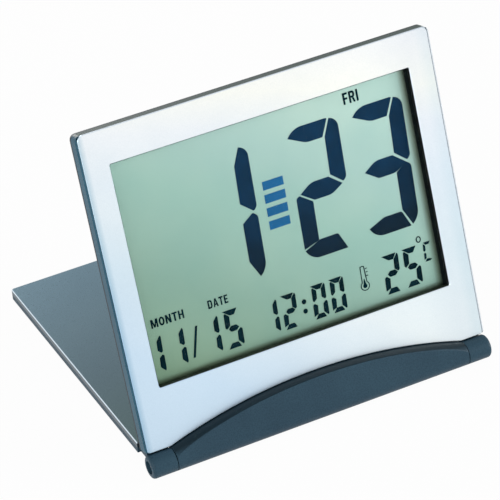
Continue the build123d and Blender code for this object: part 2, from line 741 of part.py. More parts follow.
def make_knuckle(side):
    """Round knuckle with the arm that carries the lid."""
    outer = side * case_half
    inner = side * knuckle_inner
    span = (min(outer, inner), max(outer, inner))
    knuckle = rod(BARREL_RADIUS, *span)
    end_edge = knuckle.edges().filter_by(GeomType.CIRCLE).sort_by(Axis.X)[0 if side < 0 else -1]
    knuckle = fillet(end_edge, KNUCKLE_EDGE)
    arm_span = (min(inner, outer - side * KNUCKLE_EDGE), max(inner, outer - side * KNUCKLE_EDGE))
    return knuckle + block(arm_span, (0, lid_front + LID_WALL), (LID_GAP, lid_rim_low))


def make_lid_base():
    """Ribbed plastic base of the lid, with the two knuckles."""
    base = prism(lid_outline(0), LID_GAP, lid_rim_low)
    base += prism(lid_outline(LID_SHEET + LID_FIT), lid_rim_low, lid_under_sheet)
    base -= prism(lid_outline(LID_WALL), lid_floor_top, lid_under_sheet)
    rib_area = prism(lid_outline(LID_WALL), lid_floor_top, lid_under_sheet)
    rib_pitch = 2 * case_half / (LID_RIB_COUNT + 1)
    for number in range(LID_RIB_COUNT):
        rib_x = -case_half + (number + 1) * rib_pitch
        rib_span = (rib_x - LID_RIB / 2, rib_x + LID_RIB / 2)
        base += rib_area & block(rib_span, (0, LID_DEPTH), (lid_floor_top, lid_under_sheet))
    base += both_sides(make_knuckle)
    for side in (-1, 1):
        recess = (side * (case_half - PIN_RECESS_DEPTH), side * case_half)
        bore = (side * knuckle_inner, side * case_half)
        base -= rod(PIN_RECESS_RADIUS, min(recess), max(recess))
        base -= rod(PIN_RADIUS, min(bore), max(bore))
        base -= slot_prism(pad_centre(side), PAD_LENGTH, PAD_WIDTH, LID_GAP, LID_GAP + PAD_SEAT)
    return base


def make_lid_pads():
    """Rubber pads under the rear of the lid, their soles cut level with the floor."""
    pads = []
    floor = Pos(0, 0, -LID_DEPTH / 2) * Box(2 * LID_DEPTH, 2 * LID_DEPTH, LID_DEPTH)
    for side in (-1, 1):
        drop = LID_GAP - BARREL_RADIUS
        pad = slot_prism(pad_centre(side), PAD_LENGTH, PAD_WIDTH, drop, LID_GAP + PAD_SEAT)
        pads.append((lid_place * pad - floor).solid())
    return Compound(pads)


# All nodes

case_nodes = {
    "face_plate": make_face_plate(),
    "front_frame": make_front_frame(),
    "rear_cover": make_rear_cover(),
    "case_screws": make_case_screws(),
    "display_lens": make_display_lens(),
    "lcd_front_glass": make_front_glass(),
    "lcd_rear_glass": behind_glass(0, rear_glass_back, front_glass_back),
    "lcd_reflector": behind_glass(0, reflector_back, rear_glass_back),
    "lcd_foam": behind_glass(FOAM_INSET, board_front, reflector_back),
    "connector_strip": make_connector_strip(),
    "circuit_board": make_circuit_board(),
    "board_screws": make_board_screws(),
    "chip_cover": make_chip_cover(),
    "crystal": lying_can(crystal_at, CRYSTAL_RADIUS, CRYSTAL_LENGTH),
    "temperature_sensor": lying_can(sensor_at, SENSOR_RADIUS, SENSOR_LENGTH),
    "small_chips": make_small_chips(),
    "coin_cell": make_coin_cell(),
    "battery_leaf_minus": make_minus_leaf(),
    "battery_clip_plus": make_plus_clip(),
    "battery_door": make_battery_door(),
    "keypad": make_keypad(),
    "switch_housing": make_switch_housing(),
    "alarm_switch": make_alarm_switch(),
    "buzzer_disc": disc(buzzer_at, BUZZER_RADIUS, rear_inner, buzzer_front),
    "buzzer_ceramic": disc(buzzer_at, BUZZER_CERAMIC_RADIUS, buzzer_front, ceramic_front),
    "buzzer_contacts": make_buzzer_contacts(),
    "hinge_spine": make_hinge_spine(),
    "spine_screws": make_spine_screws(),
    "hinge_bushes": make_hinge_bushes(),
}
for key_name, key_centre in zip(KEY_NAMES, key_at):
    case_nodes[key_name] = make_key(key_centre)

lid_nodes = {
    "lid_plate": make_lid_plate(),
    "lid_base": make_lid_base(),
    "hinge_pins": make_hinge_pins(),
}

os.makedirs("parts", exist_ok=True)
for name, piece in case_nodes.items():
    export_step(case_place * piece, f"parts/{name}.step")
for name, piece in lid_nodes.items():
    export_step(lid_place * piece, f"parts/{name}.step")
export_step(make_lid_pads(), "parts/lid_pads.step")

print(f"hinge at y {hinge_y:.4f}, z {BARREL_RADIUS:.4f}")
print(f"battery door at x {cell_at[0]:.4f}, y {cell_at[1]:.4f} on the case")
print(f"lid tilt {lid_tilt:.4f}, case angle {case_angle:.4f}, lid front {lid_front:.3f}")
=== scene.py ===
"""Looks of a folding travel alarm clock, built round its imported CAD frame.

The scene is in metres. Sizes of new pieces are in millimetres, in the case frame: x to the right, y up the
face from the hinge axis, z out of the face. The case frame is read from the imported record's joints.
"""

from __future__ import annotations

import json
import logging
from dataclasses import dataclass
from enum import Enum
from functools import lru_cache
from typing import Iterable, Sequence

import bmesh
import bpy
from mathutils import Matrix, Vector

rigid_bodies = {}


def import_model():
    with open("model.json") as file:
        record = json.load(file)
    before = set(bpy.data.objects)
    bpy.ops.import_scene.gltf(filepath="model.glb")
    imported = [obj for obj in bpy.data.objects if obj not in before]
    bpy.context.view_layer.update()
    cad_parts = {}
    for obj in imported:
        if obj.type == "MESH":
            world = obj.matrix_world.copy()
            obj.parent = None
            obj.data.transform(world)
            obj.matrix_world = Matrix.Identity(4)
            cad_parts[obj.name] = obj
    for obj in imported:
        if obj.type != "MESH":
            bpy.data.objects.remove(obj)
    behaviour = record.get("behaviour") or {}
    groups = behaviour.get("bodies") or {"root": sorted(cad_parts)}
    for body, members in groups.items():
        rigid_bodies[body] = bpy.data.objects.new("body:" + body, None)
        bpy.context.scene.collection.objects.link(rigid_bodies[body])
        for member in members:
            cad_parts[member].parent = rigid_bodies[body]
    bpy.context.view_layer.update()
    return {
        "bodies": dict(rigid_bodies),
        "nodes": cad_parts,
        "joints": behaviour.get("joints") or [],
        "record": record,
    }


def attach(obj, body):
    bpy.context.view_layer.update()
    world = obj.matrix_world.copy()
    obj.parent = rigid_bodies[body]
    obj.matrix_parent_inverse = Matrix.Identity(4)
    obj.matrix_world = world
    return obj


LOG = logging.getLogger("alarm_clock")
MM = 0.001

Span = tuple[float, float]
Triple = tuple[float, float, float]
Colour = tuple[int, int, int]
Stops = tuple[tuple[float, Colour], ...]
Socket = bpy.types.NodeSocket

WHITE: Colour = (255, 255, 255)


def paint(colour: Colour) -> tuple[float, float, float, float]:
    """Turn a screen colour into the linear colour of a shader.

    Args:
        colour: Red, green and blue from 0 to 255, as seen on a screen.

    Returns:
        Linear red, green and blue, and full cover.
    """
    shares = [value / 255 for value in colour]
    linear = [share / 12.92 if share <= 0.04045 else ((share + 0.055) / 1.055) ** 2.4 for share in shares]
    return (*linear, 1.0)


# Names of the frame


class Body(Enum):
    """Moving bodies of the frame that new pieces ride on."""

    CASE = "clock_case"


class Slot(Enum):
    """Material slots of the record; no new piece is given one here."""

    GLASS = "display_glass"
    FRAME = "frame_plastic"


@dataclass(frozen=True)
class Stretch:
    """Way along a direction, on which a finish changes.

    Attributes:
        direction: Direction in the scene at rest.
        start: Distance from the origin where the change starts, in metres.
        end: Distance where it is complete.
    """

    direction: Triple
    start: float
    end: float


@dataclass(frozen=True)
class CaseFrame:
    """Flat drawing frame of the clock's face.

    Attributes:
        hinge: Point on the hinge axis, in metres.
        right: Direction along the hinge axis.
        up: Direction up the face.
        normal: Direction out of the face.
    """

    hinge: Vector
    right: Vector
    up: Vector
    normal: Vector

    @classmethod
    def from_joints(cls, joints: Sequence[dict]) -> CaseFrame:
        """Read the frame from the lid's hinge and a key's travel.

        Args:
            joints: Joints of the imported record.

        Returns:
            The case frame.
        """
        named = {joint["name"]: joint for joint in joints}
        right = Vector((1.0, 0.0, 0.0))
        normal = Vector(named["mode_press"]["axis"]).normalized()
        return cls(Vector(named["lid_hinge"]["pos_m"]), right, normal.cross(right), normal)

    def place(self) -> Matrix:
        """Matrix from millimetres in the case frame to metres in the scene."""
        turn = Matrix((self.right, self.up, self.normal)).transposed().to_4x4()
        return Matrix.Translation(self.hinge) @ turn @ Matrix.Scale(MM, 4)

    def stretch(self, direction: Vector, start: float, end: float) -> Stretch:
        """Stretch whose ends are given in millimetres from the hinge axis."""
        hinge = self.hinge.dot(direction)
        return Stretch(tuple(direction), hinge + start * MM, hinge + end * MM)


# Shader bench

NOISE_SPAN: Span = (0.3, 0.7)


def value_of(tree: bpy.types.NodeTree, operation: str, first: Socket, second: Socket | float) -> Socket:
    """Join two values by a mathematical operation.

    Args:
        tree: Node tree that gets the node.
        operation: Name of the operation.
        first: First value socket.
        second: Second value, as a socket or a number.

    Returns:
        Value socket.
    """
    node = tree.nodes.new("ShaderNodeMath")
    node.operation = operation
    tree.links.new(first, node.inputs[0])
    if isinstance(second, float):
        node.inputs[1].default_value = second
    else:
        tree.links.new(second, node.inputs[1])
    return node.outputs["Value"]


class Shader:
    """Node tree of one material, with short ways to add and join nodes."""

    def __init__(self, name: str) -> None:
        """Start a material with one plain surface.

        Args:
            name: Name of the material.
        """
        self.material = bpy.data.materials.new(name)
        self.material.use_nodes = True
        self.tree = self.material.node_tree
        self.nodes = self.tree.nodes
        self.links = self.tree.links
        self.surface = self.nodes["Principled BSDF"]
        places = self.nodes.new("ShaderNodeTexCoord")
        self.coordinates = places.outputs["Object"]
        self.normals = places.outputs["Normal"]

    def set(self, **values: float) -> None:
        """Set constant values on the surface; underscores in names stand for spaces."""
        for name, value in values.items():
            self.surface.inputs[name.replace("_", " ").title().replace("Ior", "IOR")].default_value = value

    def feed(self, name: str, socket: Socket) -> None:
        """Join a socket to one input of the surface."""
        self.links.new(socket, self.surface.inputs[name])

    def stretched(self, scale: Triple) -> Socket:
        """Object coordinates, scaled differently along each axis.

        Args:
            scale: Scale along x, y and z.

        Returns:
            Vector socket.
        """
        mapping = self.nodes.new("ShaderNodeMapping")
        mapping.inputs["Scale"].default_value = scale
        self.links.new(self.coordinates, mapping.inputs["Vector"])
        return mapping.outputs["Vector"]

    def noise(self, scale: float, detail: float = 2.0, coordinates: Socket | None = None) -> Socket:
        """Even noise from 0 to 1.

        Args:
            scale: Spots to the metre.
            detail: Finer layers that are added.
            coordinates: Vector to read, or plain object coordinates.

        Returns:
            Factor socket.
        """
        noise = self.nodes.new("ShaderNodeTexNoise")
        noise.inputs["Scale"].default_value = scale
        noise.inputs["Detail"].default_value = detail
        self.links.new(coordinates or self.coordinates, noise.inputs["Vector"])
        return noise.outputs["Fac"]

    def reach(self, vector: Socket, direction: Triple, source: Span) -> Socket:
        """Share by which a vector reaches along a direction, from 0 to 1.

        Args:
            vector: Vector socket.
            direction: Direction in the scene at rest.
            source: Reach where the share is 0, and where it is 1.

        Returns:
            Factor socket.
        """
        product = self.nodes.new("ShaderNodeVectorMath")
        product.operation = "DOT_PRODUCT"
        product.inputs[1].default_value = direction
        self.links.new(vector, product.inputs[0])
        return self.spread(product.outputs["Value"], source, (0.0, 1.0))

    def along(self, stretch: Stretch) -> Socket:
        """Share of the way along a stretch, from 0 to 1."""
        return self.reach(self.coordinates, stretch.direction, (stretch.start, stretch.end))

    def facing(self, direction: Triple, turn: Span) -> Socket:
        """Share by which a face looks along a direction, between two cosines."""
        return self.reach(self.normals, direction, turn)

    def spread(self, value: Socket, source: Span, target: Span) -> Socket:
        """Map one range of values onto another.

        Args:
            value: Value socket.
            source: Range that is read.
            target: Range that is given.

        Returns:
            Value socket.
        """
        spread = self.nodes.new("ShaderNodeMapRange")
        for name, number in zip(("From Min", "From Max", "To Min", "To Max"), (*source, *target)):
            spread.inputs[name].default_value = number
        self.links.new(value, spread.inputs["Value"])
        return spread.outputs["Result"]

    def ramp(self, factor: Socket, stops: Stops) -> Socket:
        """Colour that runs through given stops.

        Args:
            factor: Factor socket.
            stops: Place and colour of each stop.

        Returns:
            Colour socket.
        """
        ramp = self.nodes.new("ShaderNodeValToRGB")
        elements = ramp.color_ramp.elements
        while len(elements) < len(stops):
            elements.new(0.5)
        for element, (place, colour) in zip(elements, stops):
            element.position = place
            element.color = paint(colour)
        self.links.new(factor, ramp.inputs["Fac"])
        return ramp.outputs["Color"]

    def mottled(self, noise: Socket, low: Colour, high: Colour, source: Span = NOISE_SPAN) -> Socket:
        """Colour that a noise varies between two others."""
        return self.ramp(noise, ((source[0], low), (source[1], high)))

    def blend(self, factor: Socket | float, first: Socket, second: Socket, mode: str = "MIX") -> Socket:
        """Mix two colours.

        Args:
            factor: Share of the second colour, as a socket or a number.
            first: First colour socket.
            second: Second colour socket.
            mode: Way of mixing.

        Returns:
            Colour socket.
        """
        mix = self.nodes.new("ShaderNodeMix")
        mix.data_type = "RGBA"
        mix.blend_type = mode
        if isinstance(factor, float):
            mix.inputs["Factor"].default_value = factor
        else:
            self.links.new(factor, mix.inputs["Factor"])
        self.links.new(first, mix.inputs["A"])
        self.links.new(second, mix.inputs["B"])
        return mix.outputs["Result"]

    def tinted(self, colour: Socket, tint: Socket) -> Socket:
        """Colour seen through a tint."""
        return self.blend(1.0, colour, tint, "MULTIPLY")

    def bump(self, height: Socket, strength: float, depth: float) -> None:
        """Raise the surface by a height.

        Args:
            height: Height socket, from 0 to 1.
            strength: Share of the effect.
            depth: Height of 1, in millimetres.
        """
        bump = self.nodes.new("ShaderNodeBump")
        bump.inputs["Strength"].default_value = strength
        bump.inputs["Distance"].default_value = depth * MM
        self.links.new(height, bump.inputs["Height"])
        self.feed("Normal", bump.outputs["Normal"])


# Finishes


@dataclass(frozen=True)
class LightWash:
    """Painted shade and reflection tint that deepens along a direction.

    Attributes:
        stretch: Way on which it deepens.
        colour: Tint where it is full.
    """

    stretch: Stretch
    colour: Colour

    def over(self, shader: Shader, colour: Socket) -> Socket:
        """Colour with the tint laid over it."""
        depth = shader.along(self.stretch)
        return shader.tinted(colour, shader.ramp(depth, ((0.0, WHITE), (1.0, self.colour))))


@dataclass(frozen=True)
class FacingShading:
    """Painted light and shade on the faces that look one way.

    Attributes:
        colour: Painted colour of those faces.
        outward: Direction that the coated faces look along.
        turn: How squarely a face looks outwards where the painted colour starts, and where it is full.
        side: Way on which the painted colour sets in, where it isn't all round.
    """

    colour: Colour
    outward: Triple
    turn: Span = (0.75, 0.95)
    side: Stretch | None = None

    def over(self, shader: Shader, colour: Socket) -> Socket:
        """Lay the painted light and shade over a colour.

        Args:
            shader: Shader that gets the nodes.
            colour: Colour socket below the painted colour.

        Returns:
            Colour socket with the painted colour.
        """
        # Painted light and shade on the faces that look along one direction.
        cover = shader.facing(self.outward, self.turn)
        if self.side:
            cover = value_of(shader.tree, "MULTIPLY", cover, shader.along(self.side))
        return shader.blend(cover, colour, shader.ramp(cover, ((0.0, self.colour), (1.0, self.colour))))


@dataclass(frozen=True)
class Finish:
    """Finish that is made into one material.

    Attributes:
        name: Name of the material.
    """

    name: str

    def material(self) -> bpy.types.Material:
        """Make the material.

        Returns:
            The material, with the finish on its surface.
        """
        shader = Shader(self.name)
        self.lay(shader)
        return shader.material

    def lay(self, shader: Shader) -> None:
        """Lay the finish on a surface."""
        raise NotImplementedError


@dataclass(frozen=True)
class SatinSheet(Finish):
    """Blasted and anodised sheet metal, with a painted highlight on its edges and painted shade on the
    sides below them.

    Attributes:
        stops: Colours of the flat faces along the light drift, with the reflection painted in.
        edge: Painted highlight of the edges.
        side: Painted shade of the sides below them.
        roughness: Mean roughness of the flat faces.
        outward: Direction that the flat faces look along.
        light_drift: Way along which the painted reflection changes.
        light_washes: Painted shade and reflection tints over the whole sheet.
    """

    stops: Stops
    edge: Colour
    side: Colour
    roughness: float
    outward: Triple
    light_drift: Stretch
    light_washes: tuple[LightWash, ...] = ()

    def lay(self, shader: Shader) -> None:
        """Lay the finish on a surface.

        Args:
            shader: Shader of the surface.
        """
        grain = shader.noise(3200.0, 3.0)
        clouds = shader.noise(28.0, 3.0)
        # Painted reflection: the colour of the flat faces runs along the light drift.
        flat = shader.ramp(shader.along(self.light_drift), self.stops)
        flat = shader.tinted(flat, shader.mottled(clouds, (247, 249, 251), WHITE))
        flat = shader.tinted(flat, shader.mottled(grain, (246, 248, 249), WHITE))
        # Painted highlight on faces turned off the flat, and painted shade on the steep sides.
        turned = shader.facing(self.outward, (0.97, 0.9))
        steep = shader.facing(self.outward, (0.25, 0.5))
        edge = shader.ramp(steep, ((0.0, self.side), (1.0, self.edge)))
        sheet = shader.blend(turned, flat, edge)
        # Painted shade and reflection tints over the whole sheet.
        for light_wash in self.light_washes:
            sheet = light_wash.over(shader, sheet)
        shader.feed("Base Color", sheet)
        rough = (self.roughness - 0.05, self.roughness + 0.06)
        shader.feed("Roughness", shader.spread(grain, (0.25, 0.75), rough))
        shader.set(metallic=1.0)
        shader.bump(grain, 0.25, 0.012)


@dataclass(frozen=True)
class MouldedPlastic(Finish):
    """Moulded plastic with a fine spark texture.

    Attributes:
        colour: Main colour.
        shade: Colour of the texture's pits.
        roughness: Mean roughness.
        texture: Depth of the texture in millimetres.
        gloss: Strength of its mirror gloss.
        facing_shadings: Painted light and shade on the faces that look one way.
    """

    colour: Colour
    shade: Colour
    roughness: float
    texture: float = 0.02
    gloss: float = 0.2
    facing_shadings: tuple[FacingShading, ...] = ()

    def lay(self, shader: Shader) -> None:
        """Lay the finish on a surface.

        Args:
            shader: Shader of the surface.
        """
        texture = shader.noise(2600.0, 4.0)
        flow = shader.noise(45.0, 2.0)
        pits = shader.mottled(texture, self.shade, self.colour, (0.34, 0.58))
        colour = shader.tinted(pits, shader.mottled(flow, (226, 230, 234), WHITE))
        # Painted light and shade on the faces that look one way.
        for facing_shading in self.facing_shadings:
            colour = facing_shading.over(shader, colour)
        shader.feed("Base Color", colour)
        rough = (self.roughness + 0.08, self.roughness - 0.06)
        shader.feed("Roughness", shader.spread(texture, NOISE_SPAN, rough))
        shader.set(specular_ior_level=self.gloss)
        shader.bump(texture, 0.35, self.texture)


@dataclass(frozen=True)
class ClearSheet(Finish):
    """Clear sheet that lets nearly all light through.

    Attributes:
        colour: Dark tint of the light that it holds back.
        shade: Colour of its thicker parts.
        cover: Share of light that it holds back.
        ior: Refractive index, for its gloss.
    """

    colour: Colour
    shade: Colour
    cover: float
    ior: float

    def lay(self, shader: Shader) -> None:
        """Lay the finish on a surface.

        Args:
            shader: Shader of the surface.
        """
        haze = shader.noise(60.0, 2.0)
        shader.feed("Base Color", shader.mottled(haze, self.colour, self.shade))
        shader.feed("Roughness", shader.spread(haze, NOISE_SPAN, (0.1, 0.16)))
        shader.set(alpha=self.cover, ior=self.ior)


@dataclass(frozen=True)
class DisplayFoil(Finish):
    """Pale green reflecting foil behind the display glass.

    Attributes:
        stops: Colours along the light drift, with the light painted in.
        light_drift: Way along which the painted light changes.
        wall_shadows: Ways towards an edge, on which a painted shadow of the window's wall darkens the foil.
        wall_shadow_tint: Painted shadow tint on the way to such an edge.
    """

    stops: Stops
    light_drift: Stretch
    wall_shadows: tuple[Stretch, ...]
    wall_shadow_tint: Stops = ((0.0, WHITE), (0.45, (202, 198, 188)), (0.8, (120, 116, 104)), (1.0, (58, 58, 52)))

    def lay(self, shader: Shader) -> None:
        """Lay the finish on a surface.

        Args:
            shader: Shader of the surface.
        """
        pearl = shader.noise(5200.0, 2.0)
        clouds = shader.noise(34.0, 3.0)
        # Painted light: the foil grows lighter along the light drift.
        foil = shader.ramp(shader.along(self.light_drift), self.stops)
        # Painted shadows of the window's walls near its right and lower edges.
        for wall_shadow in self.wall_shadows:
            foil = shader.tinted(foil, shader.ramp(shader.along(wall_shadow), self.wall_shadow_tint))
        foil = shader.tinted(foil, shader.mottled(clouds, (238, 246, 246), (255, 255, 252)))
        foil = shader.tinted(foil, shader.mottled(pearl, (240, 243, 240), WHITE, (0.25, 0.75)))
        shader.feed("Base Color", foil)
        shader.feed("Roughness", shader.spread(pearl, NOISE_SPAN, (0.42, 0.5)))
        shader.set(metallic=0.8)
        shader.bump(pearl, 0.15, 0.01)


@dataclass(frozen=True)
class DisplayInk(Finish):
    """Dark state of the display's crystal, or a printed filter over it.

    Attributes:
        colour: Main colour.
        shade: Colour of its darker parts.
        light_washes: Painted shade over the colour.
    """

    colour: Colour
    shade: Colour
    light_washes: tuple[LightWash, ...] = ()

    def lay(self, shader: Shader) -> None:
        """Lay the finish on a surface.

        Args:
            shader: Shader of the surface.
        """
        clouds = shader.noise(140.0, 3.0)
        colour = shader.mottled(clouds, self.shade, self.colour)
        # Painted shade over the ink's colour.
        for light_wash in self.light_washes:
            colour = light_wash.over(shader, colour)
        shader.feed("Base Color", colour)
        shader.feed("Roughness", shader.spread(clouds, NOISE_SPAN, (0.6, 0.75)))
        shader.set(specular_ior_level=0.0)


@dataclass(frozen=True)
class PlatedMetal(Finish):
    """Rolled or turned metal of the small inner parts.

    Attributes:
        colour: Main colour.
        shade: Colour of the rolling lines.
        roughness: Mean roughness.
    """

    colour: Colour
    shade: Colour
    roughness: float

    def lay(self, shader: Shader) -> None:
        """Lay the finish on a surface.

        Args:
            shader: Shader of the surface.
        """
        lines = shader.noise(900.0, 3.0, shader.stretched((0.2, 3.0, 3.0)))
        shader.feed("Base Color", shader.mottled(lines, self.shade, self.colour))
        rough = (self.roughness - 0.06, self.roughness + 0.08)
        shader.feed("Roughness", shader.spread(lines, NOISE_SPAN, rough))
        shader.set(metallic=1.0)
        shader.bump(lines, 0.2, 0.008)


@dataclass(frozen=True)
class SoftRubber(Finish):
    """Matt rubber or foam.

    Attributes:
        colour: Main colour.
        shade: Colour of its pores.
        pores: Pores to the metre.
        depth: Depth of the pores in millimetres.
    """

    colour: Colour
    shade: Colour
    pores: float
    depth: float

    def lay(self, shader: Shader) -> None:
        """Lay the finish on a surface.

        Args:
            shader: Shader of the surface.
        """
        pores = shader.noise(self.pores, 4.0)
        dust = shader.noise(300.0, 2.0)
        skin = shader.mottled(pores, self.shade, self.colour, (0.35, 0.65))
        worn = shader.mottled(dust, (225, 225, 225), WHITE, (0.4, 0.7))
        shader.feed("Base Color", shader.tinted(skin, worn))
        shader.feed("Roughness", shader.spread(pores, NOISE_SPAN, (0.9, 0.75)))
        shader.set(specular_ior_level=0.25)
        shader.bump(pores, 0.4, self.depth)


@lru_cache(maxsize=None)
def material_of(finish: Finish) -> bpy.types.Material:
    """Material of a finish, made once."""
    return finish.material()


def dress(piece: bpy.types.Object, finish: Finish) -> None:
    """Give a piece one finish all over, in place of what it has."""
    piece.data.materials.clear()
    piece.data.materials.append(material_of(finish))


# Modelling by operators

MERGE_DISTANCE = 0.0005
CUT_TOLERANCE = 0.0001
CORNER_STEPS = 6
RING_SIDES = 32
FLASK_SIDES = 48
NECK_SHARE = 0.55


def deselect_all() -> None:
    """Leave edit mode and select nothing."""
    if bpy.context.object and bpy.context.object.mode != "OBJECT":
        bpy.ops.object.mode_set(mode="OBJECT")
    bpy.ops.object.select_all(action="DESELECT")


def pick(pieces: Iterable[bpy.types.Object]) -> None:
    """Select some pieces only, the last one active.

    Args:
        pieces: Pieces that are selected.
    """
    deselect_all()
    for piece in pieces:
        piece.select_set(True)
        bpy.context.view_layer.objects.active = piece


def apply_place(piece: bpy.types.Object) -> None:
    """Put a piece's place, turn and scale into its mesh."""
    pick([piece])
    bpy.ops.object.transform_apply(location=True, rotation=True, scale=True)


def thicken(thickness: float) -> None:
    """Extrude the flat mesh in edit mode to a closed plate, and leave edit mode.

    Args:
        thickness: Height of the plate above its drawing plane.
    """
    bpy.ops.mesh.select_all(action="SELECT")
    bpy.ops.mesh.extrude_region_move(TRANSFORM_OT_translate={"value": (0.0, 0.0, thickness)})
    bpy.ops.mesh.select_all(action="SELECT")
    bpy.ops.mesh.remove_doubles(threshold=MERGE_DISTANCE)
    bpy.ops.mesh.normals_make_consistent(inside=False)
    bpy.ops.object.mode_set(mode="OBJECT")


@dataclass(frozen=True)
class Corner:
    """Corner of a flat outline.

    Attributes:
        x: Place to the right.
        y: Place upwards.
        rounding: Length that is rounded off on both sides of the corner.
    """

    x: float
    y: float
    rounding: float = 0.0


Outline = tuple[Corner, ...]


def outline_of(*corners: tuple[float, ...]) -> Outline:
    """Outline from the place of each corner, and its rounding where it has one."""
    return tuple(Corner(*corner) for corner in corners)


def upright(left: float, low: float, right: float, high: float) -> Outline:
    """Outline of an upright rectangle between its sides."""
    return outline_of((left, low), (right, low), (right, high), (left, high))


def flat_outline(name: str, corners: Outline) -> bpy.types.Object:
    """Cut a flat face from a rectangle, along each side of a convex outline, and stay in edit mode.

    Args:
        name: Name of the piece.
        corners: Corners of the outline, anticlockwise.

    Returns:
        The face, with its place in its mesh.
    """
    lefts = [corner.x for corner in corners]
    heights = [corner.y for corner in corners]
    middle = ((min(lefts) + max(lefts)) / 2, (min(heights) + max(heights)) / 2, 0.0)
    deselect_all()
    bpy.ops.mesh.primitive_plane_add(size=1.0, location=middle)
    plate = bpy.context.active_object
    plate.name = name
    plate.scale = (max(lefts) - min(lefts), max(heights) - min(heights), 1.0)
    apply_place(plate)
    bpy.ops.object.mode_set(mode="EDIT")
    for start, end in zip(corners, (*corners[1:], corners[0])):
        place = (start.x, start.y, 0.0)
        outward = Vector((end.y - start.y, start.x - end.x, 0.0)).normalized()
        bpy.ops.mesh.select_all(action="SELECT")
        bpy.ops.mesh.bisect(plane_co=place, plane_no=outward, clear_outer=True, threshold=CUT_TOLERANCE)
    for corner in corners:
        if corner.rounding:
            round_corner(plate, corner)
    return plate


def cut_plate(name: str, corners: Outline, thickness: float) -> bpy.types.Object:
    """Cut a thin plate to a convex outline.

    Args:
        name: Name of the piece.
        corners: Corners of the outline, anticlockwise.
        thickness: Thickness of the plate.

    Returns:
        The plate, with its place in its mesh.
    """
    plate = flat_outline(name, corners)
    thicken(thickness)
    return plate


def cut_border(name: str, corners: Outline, line: float, thickness: float) -> bpy.types.Object:
    """Cut a border that follows a convex outline.

    Args:
        name: Name of the piece.
        corners: Outer corners, anticlockwise.
        line: Width of the border.
        thickness: Thickness of the border.

    Returns:
        The border, with its place in its mesh.
    """
    border = flat_outline(name, corners)
    open_middle(line)
    thicken(thickness)
    return border


def round_corner(plate: bpy.types.Object, corner: Corner) -> None:
    """Round one corner of a flat plate in edit mode.

    Args:
        plate: Plate that is being edited.
        corner: Corner that is rounded.
    """
    mesh = bmesh.from_edit_mesh(plate.data)
    bpy.ops.mesh.select_all(action="DESELECT")
    bpy.ops.mesh.select_mode(type="VERT")
    place = Vector((corner.x, corner.y))
    nearest = min(mesh.verts, key=lambda vertex: (vertex.co.xy - place).length_squared)
    nearest.select = True
    mesh.select_flush_mode()
    bmesh.update_edit_mesh(plate.data)
    bpy.ops.mesh.bevel(offset=corner.rounding, segments=CORNER_STEPS, affect="VERTICES", clamp_overlap=True)


def ring_plate(name: str, middle: Span, size: Span, line: float, thickness: float) -> bpy.types.Object:
    """Make a thin oval plate, open in the middle.

    Args:
        name: Name of the piece.
        middle: Middle of the oval.
        size: Half width and half height.
        line: Width of the line, or 0 for a full plate.
        thickness: Thickness of the plate.

    Returns:
        The plate, with its place in its mesh.
    """
    deselect_all()
    place = (*middle, 0.0)
    bpy.ops.mesh.primitive_circle_add(vertices=RING_SIDES, radius=1.0, fill_type="NGON", location=place)
    ring = bpy.context.active_object
    ring.name = name
    ring.scale = (*size, 1.0)
    apply_place(ring)
    bpy.ops.object.mode_set(mode="EDIT")
    if line:
        open_middle(line)
    thicken(thickness)
    return ring


def open_middle(line: float) -> None:
    """Inset the flat face in edit mode and take out its middle.

    Args:
        line: Width of the rim that is left.
    """
    bpy.ops.mesh.select_all(action="SELECT")
    bpy.ops.mesh.inset(thickness=line)
    bpy.ops.mesh.delete(type="FACE")


def copied(piece: bpy.types.Object, shift: Span, scale: Span = (1.0, 1.0)) -> bpy.types.Object:
    """Copy a piece with its own mesh.

    Args:
        piece: Piece that is copied.
        shift: How far the copy is moved, after scaling about the origin.
        scale: Scale of the copy across and up the drawing plane.

    Returns:
        The copy, with its place in its mesh.
    """
    pick([piece])
    bpy.ops.object.duplicate(linked=False)
    copy = bpy.context.active_object
    copy.location = (*shift, 0.0)
    copy.scale = (*scale, 1.0)
    apply_place(copy)
    return copy


def joined(name: str, pieces: Sequence[bpy.types.Object]) -> bpy.types.Object:
    """Join pieces into one object.

    Args:
        name: Name of the joined piece.
        pieces: Pieces that are joined.

    Returns:
        The joined piece.
    """
    pick(pieces)
    if len(pieces) > 1:
        bpy.ops.object.join()
    piece = bpy.context.active_object
    piece.name = name
    piece.data.name = name
    return piece


def erased(pieces: Iterable[bpy.types.Object]) -> None:
    """Delete pieces that only served as patterns."""
    pick(pieces)
    bpy.ops.object.delete()


# Display


class Bar(Enum):
    """The seven bars of a display digit."""

    TOP = "top"
    UPPER_RIGHT = "upper_right"
    LOWER_RIGHT = "lower_right"
    BOTTOM = "bottom"
    LOWER_LEFT = "lower_left"
    UPPER_LEFT = "upper_left"
    MIDDLE = "middle"


DIGIT_BARS: dict[str, tuple[Bar, ...]] = {
    "0": (Bar.TOP, Bar.UPPER_RIGHT, Bar.LOWER_RIGHT, Bar.BOTTOM, Bar.LOWER_LEFT, Bar.UPPER_LEFT),
    "1": (Bar.UPPER_RIGHT, Bar.LOWER_RIGHT),
    "2": (Bar.TOP, Bar.UPPER_RIGHT, Bar.MIDDLE, Bar.LOWER_LEFT, Bar.BOTTOM),
    "3": (Bar.TOP, Bar.UPPER_RIGHT, Bar.MIDDLE, Bar.LOWER_RIGHT, Bar.BOTTOM),
    "5": (Bar.TOP, Bar.UPPER_LEFT, Bar.MIDDLE, Bar.LOWER_RIGHT, Bar.BOTTOM),
}

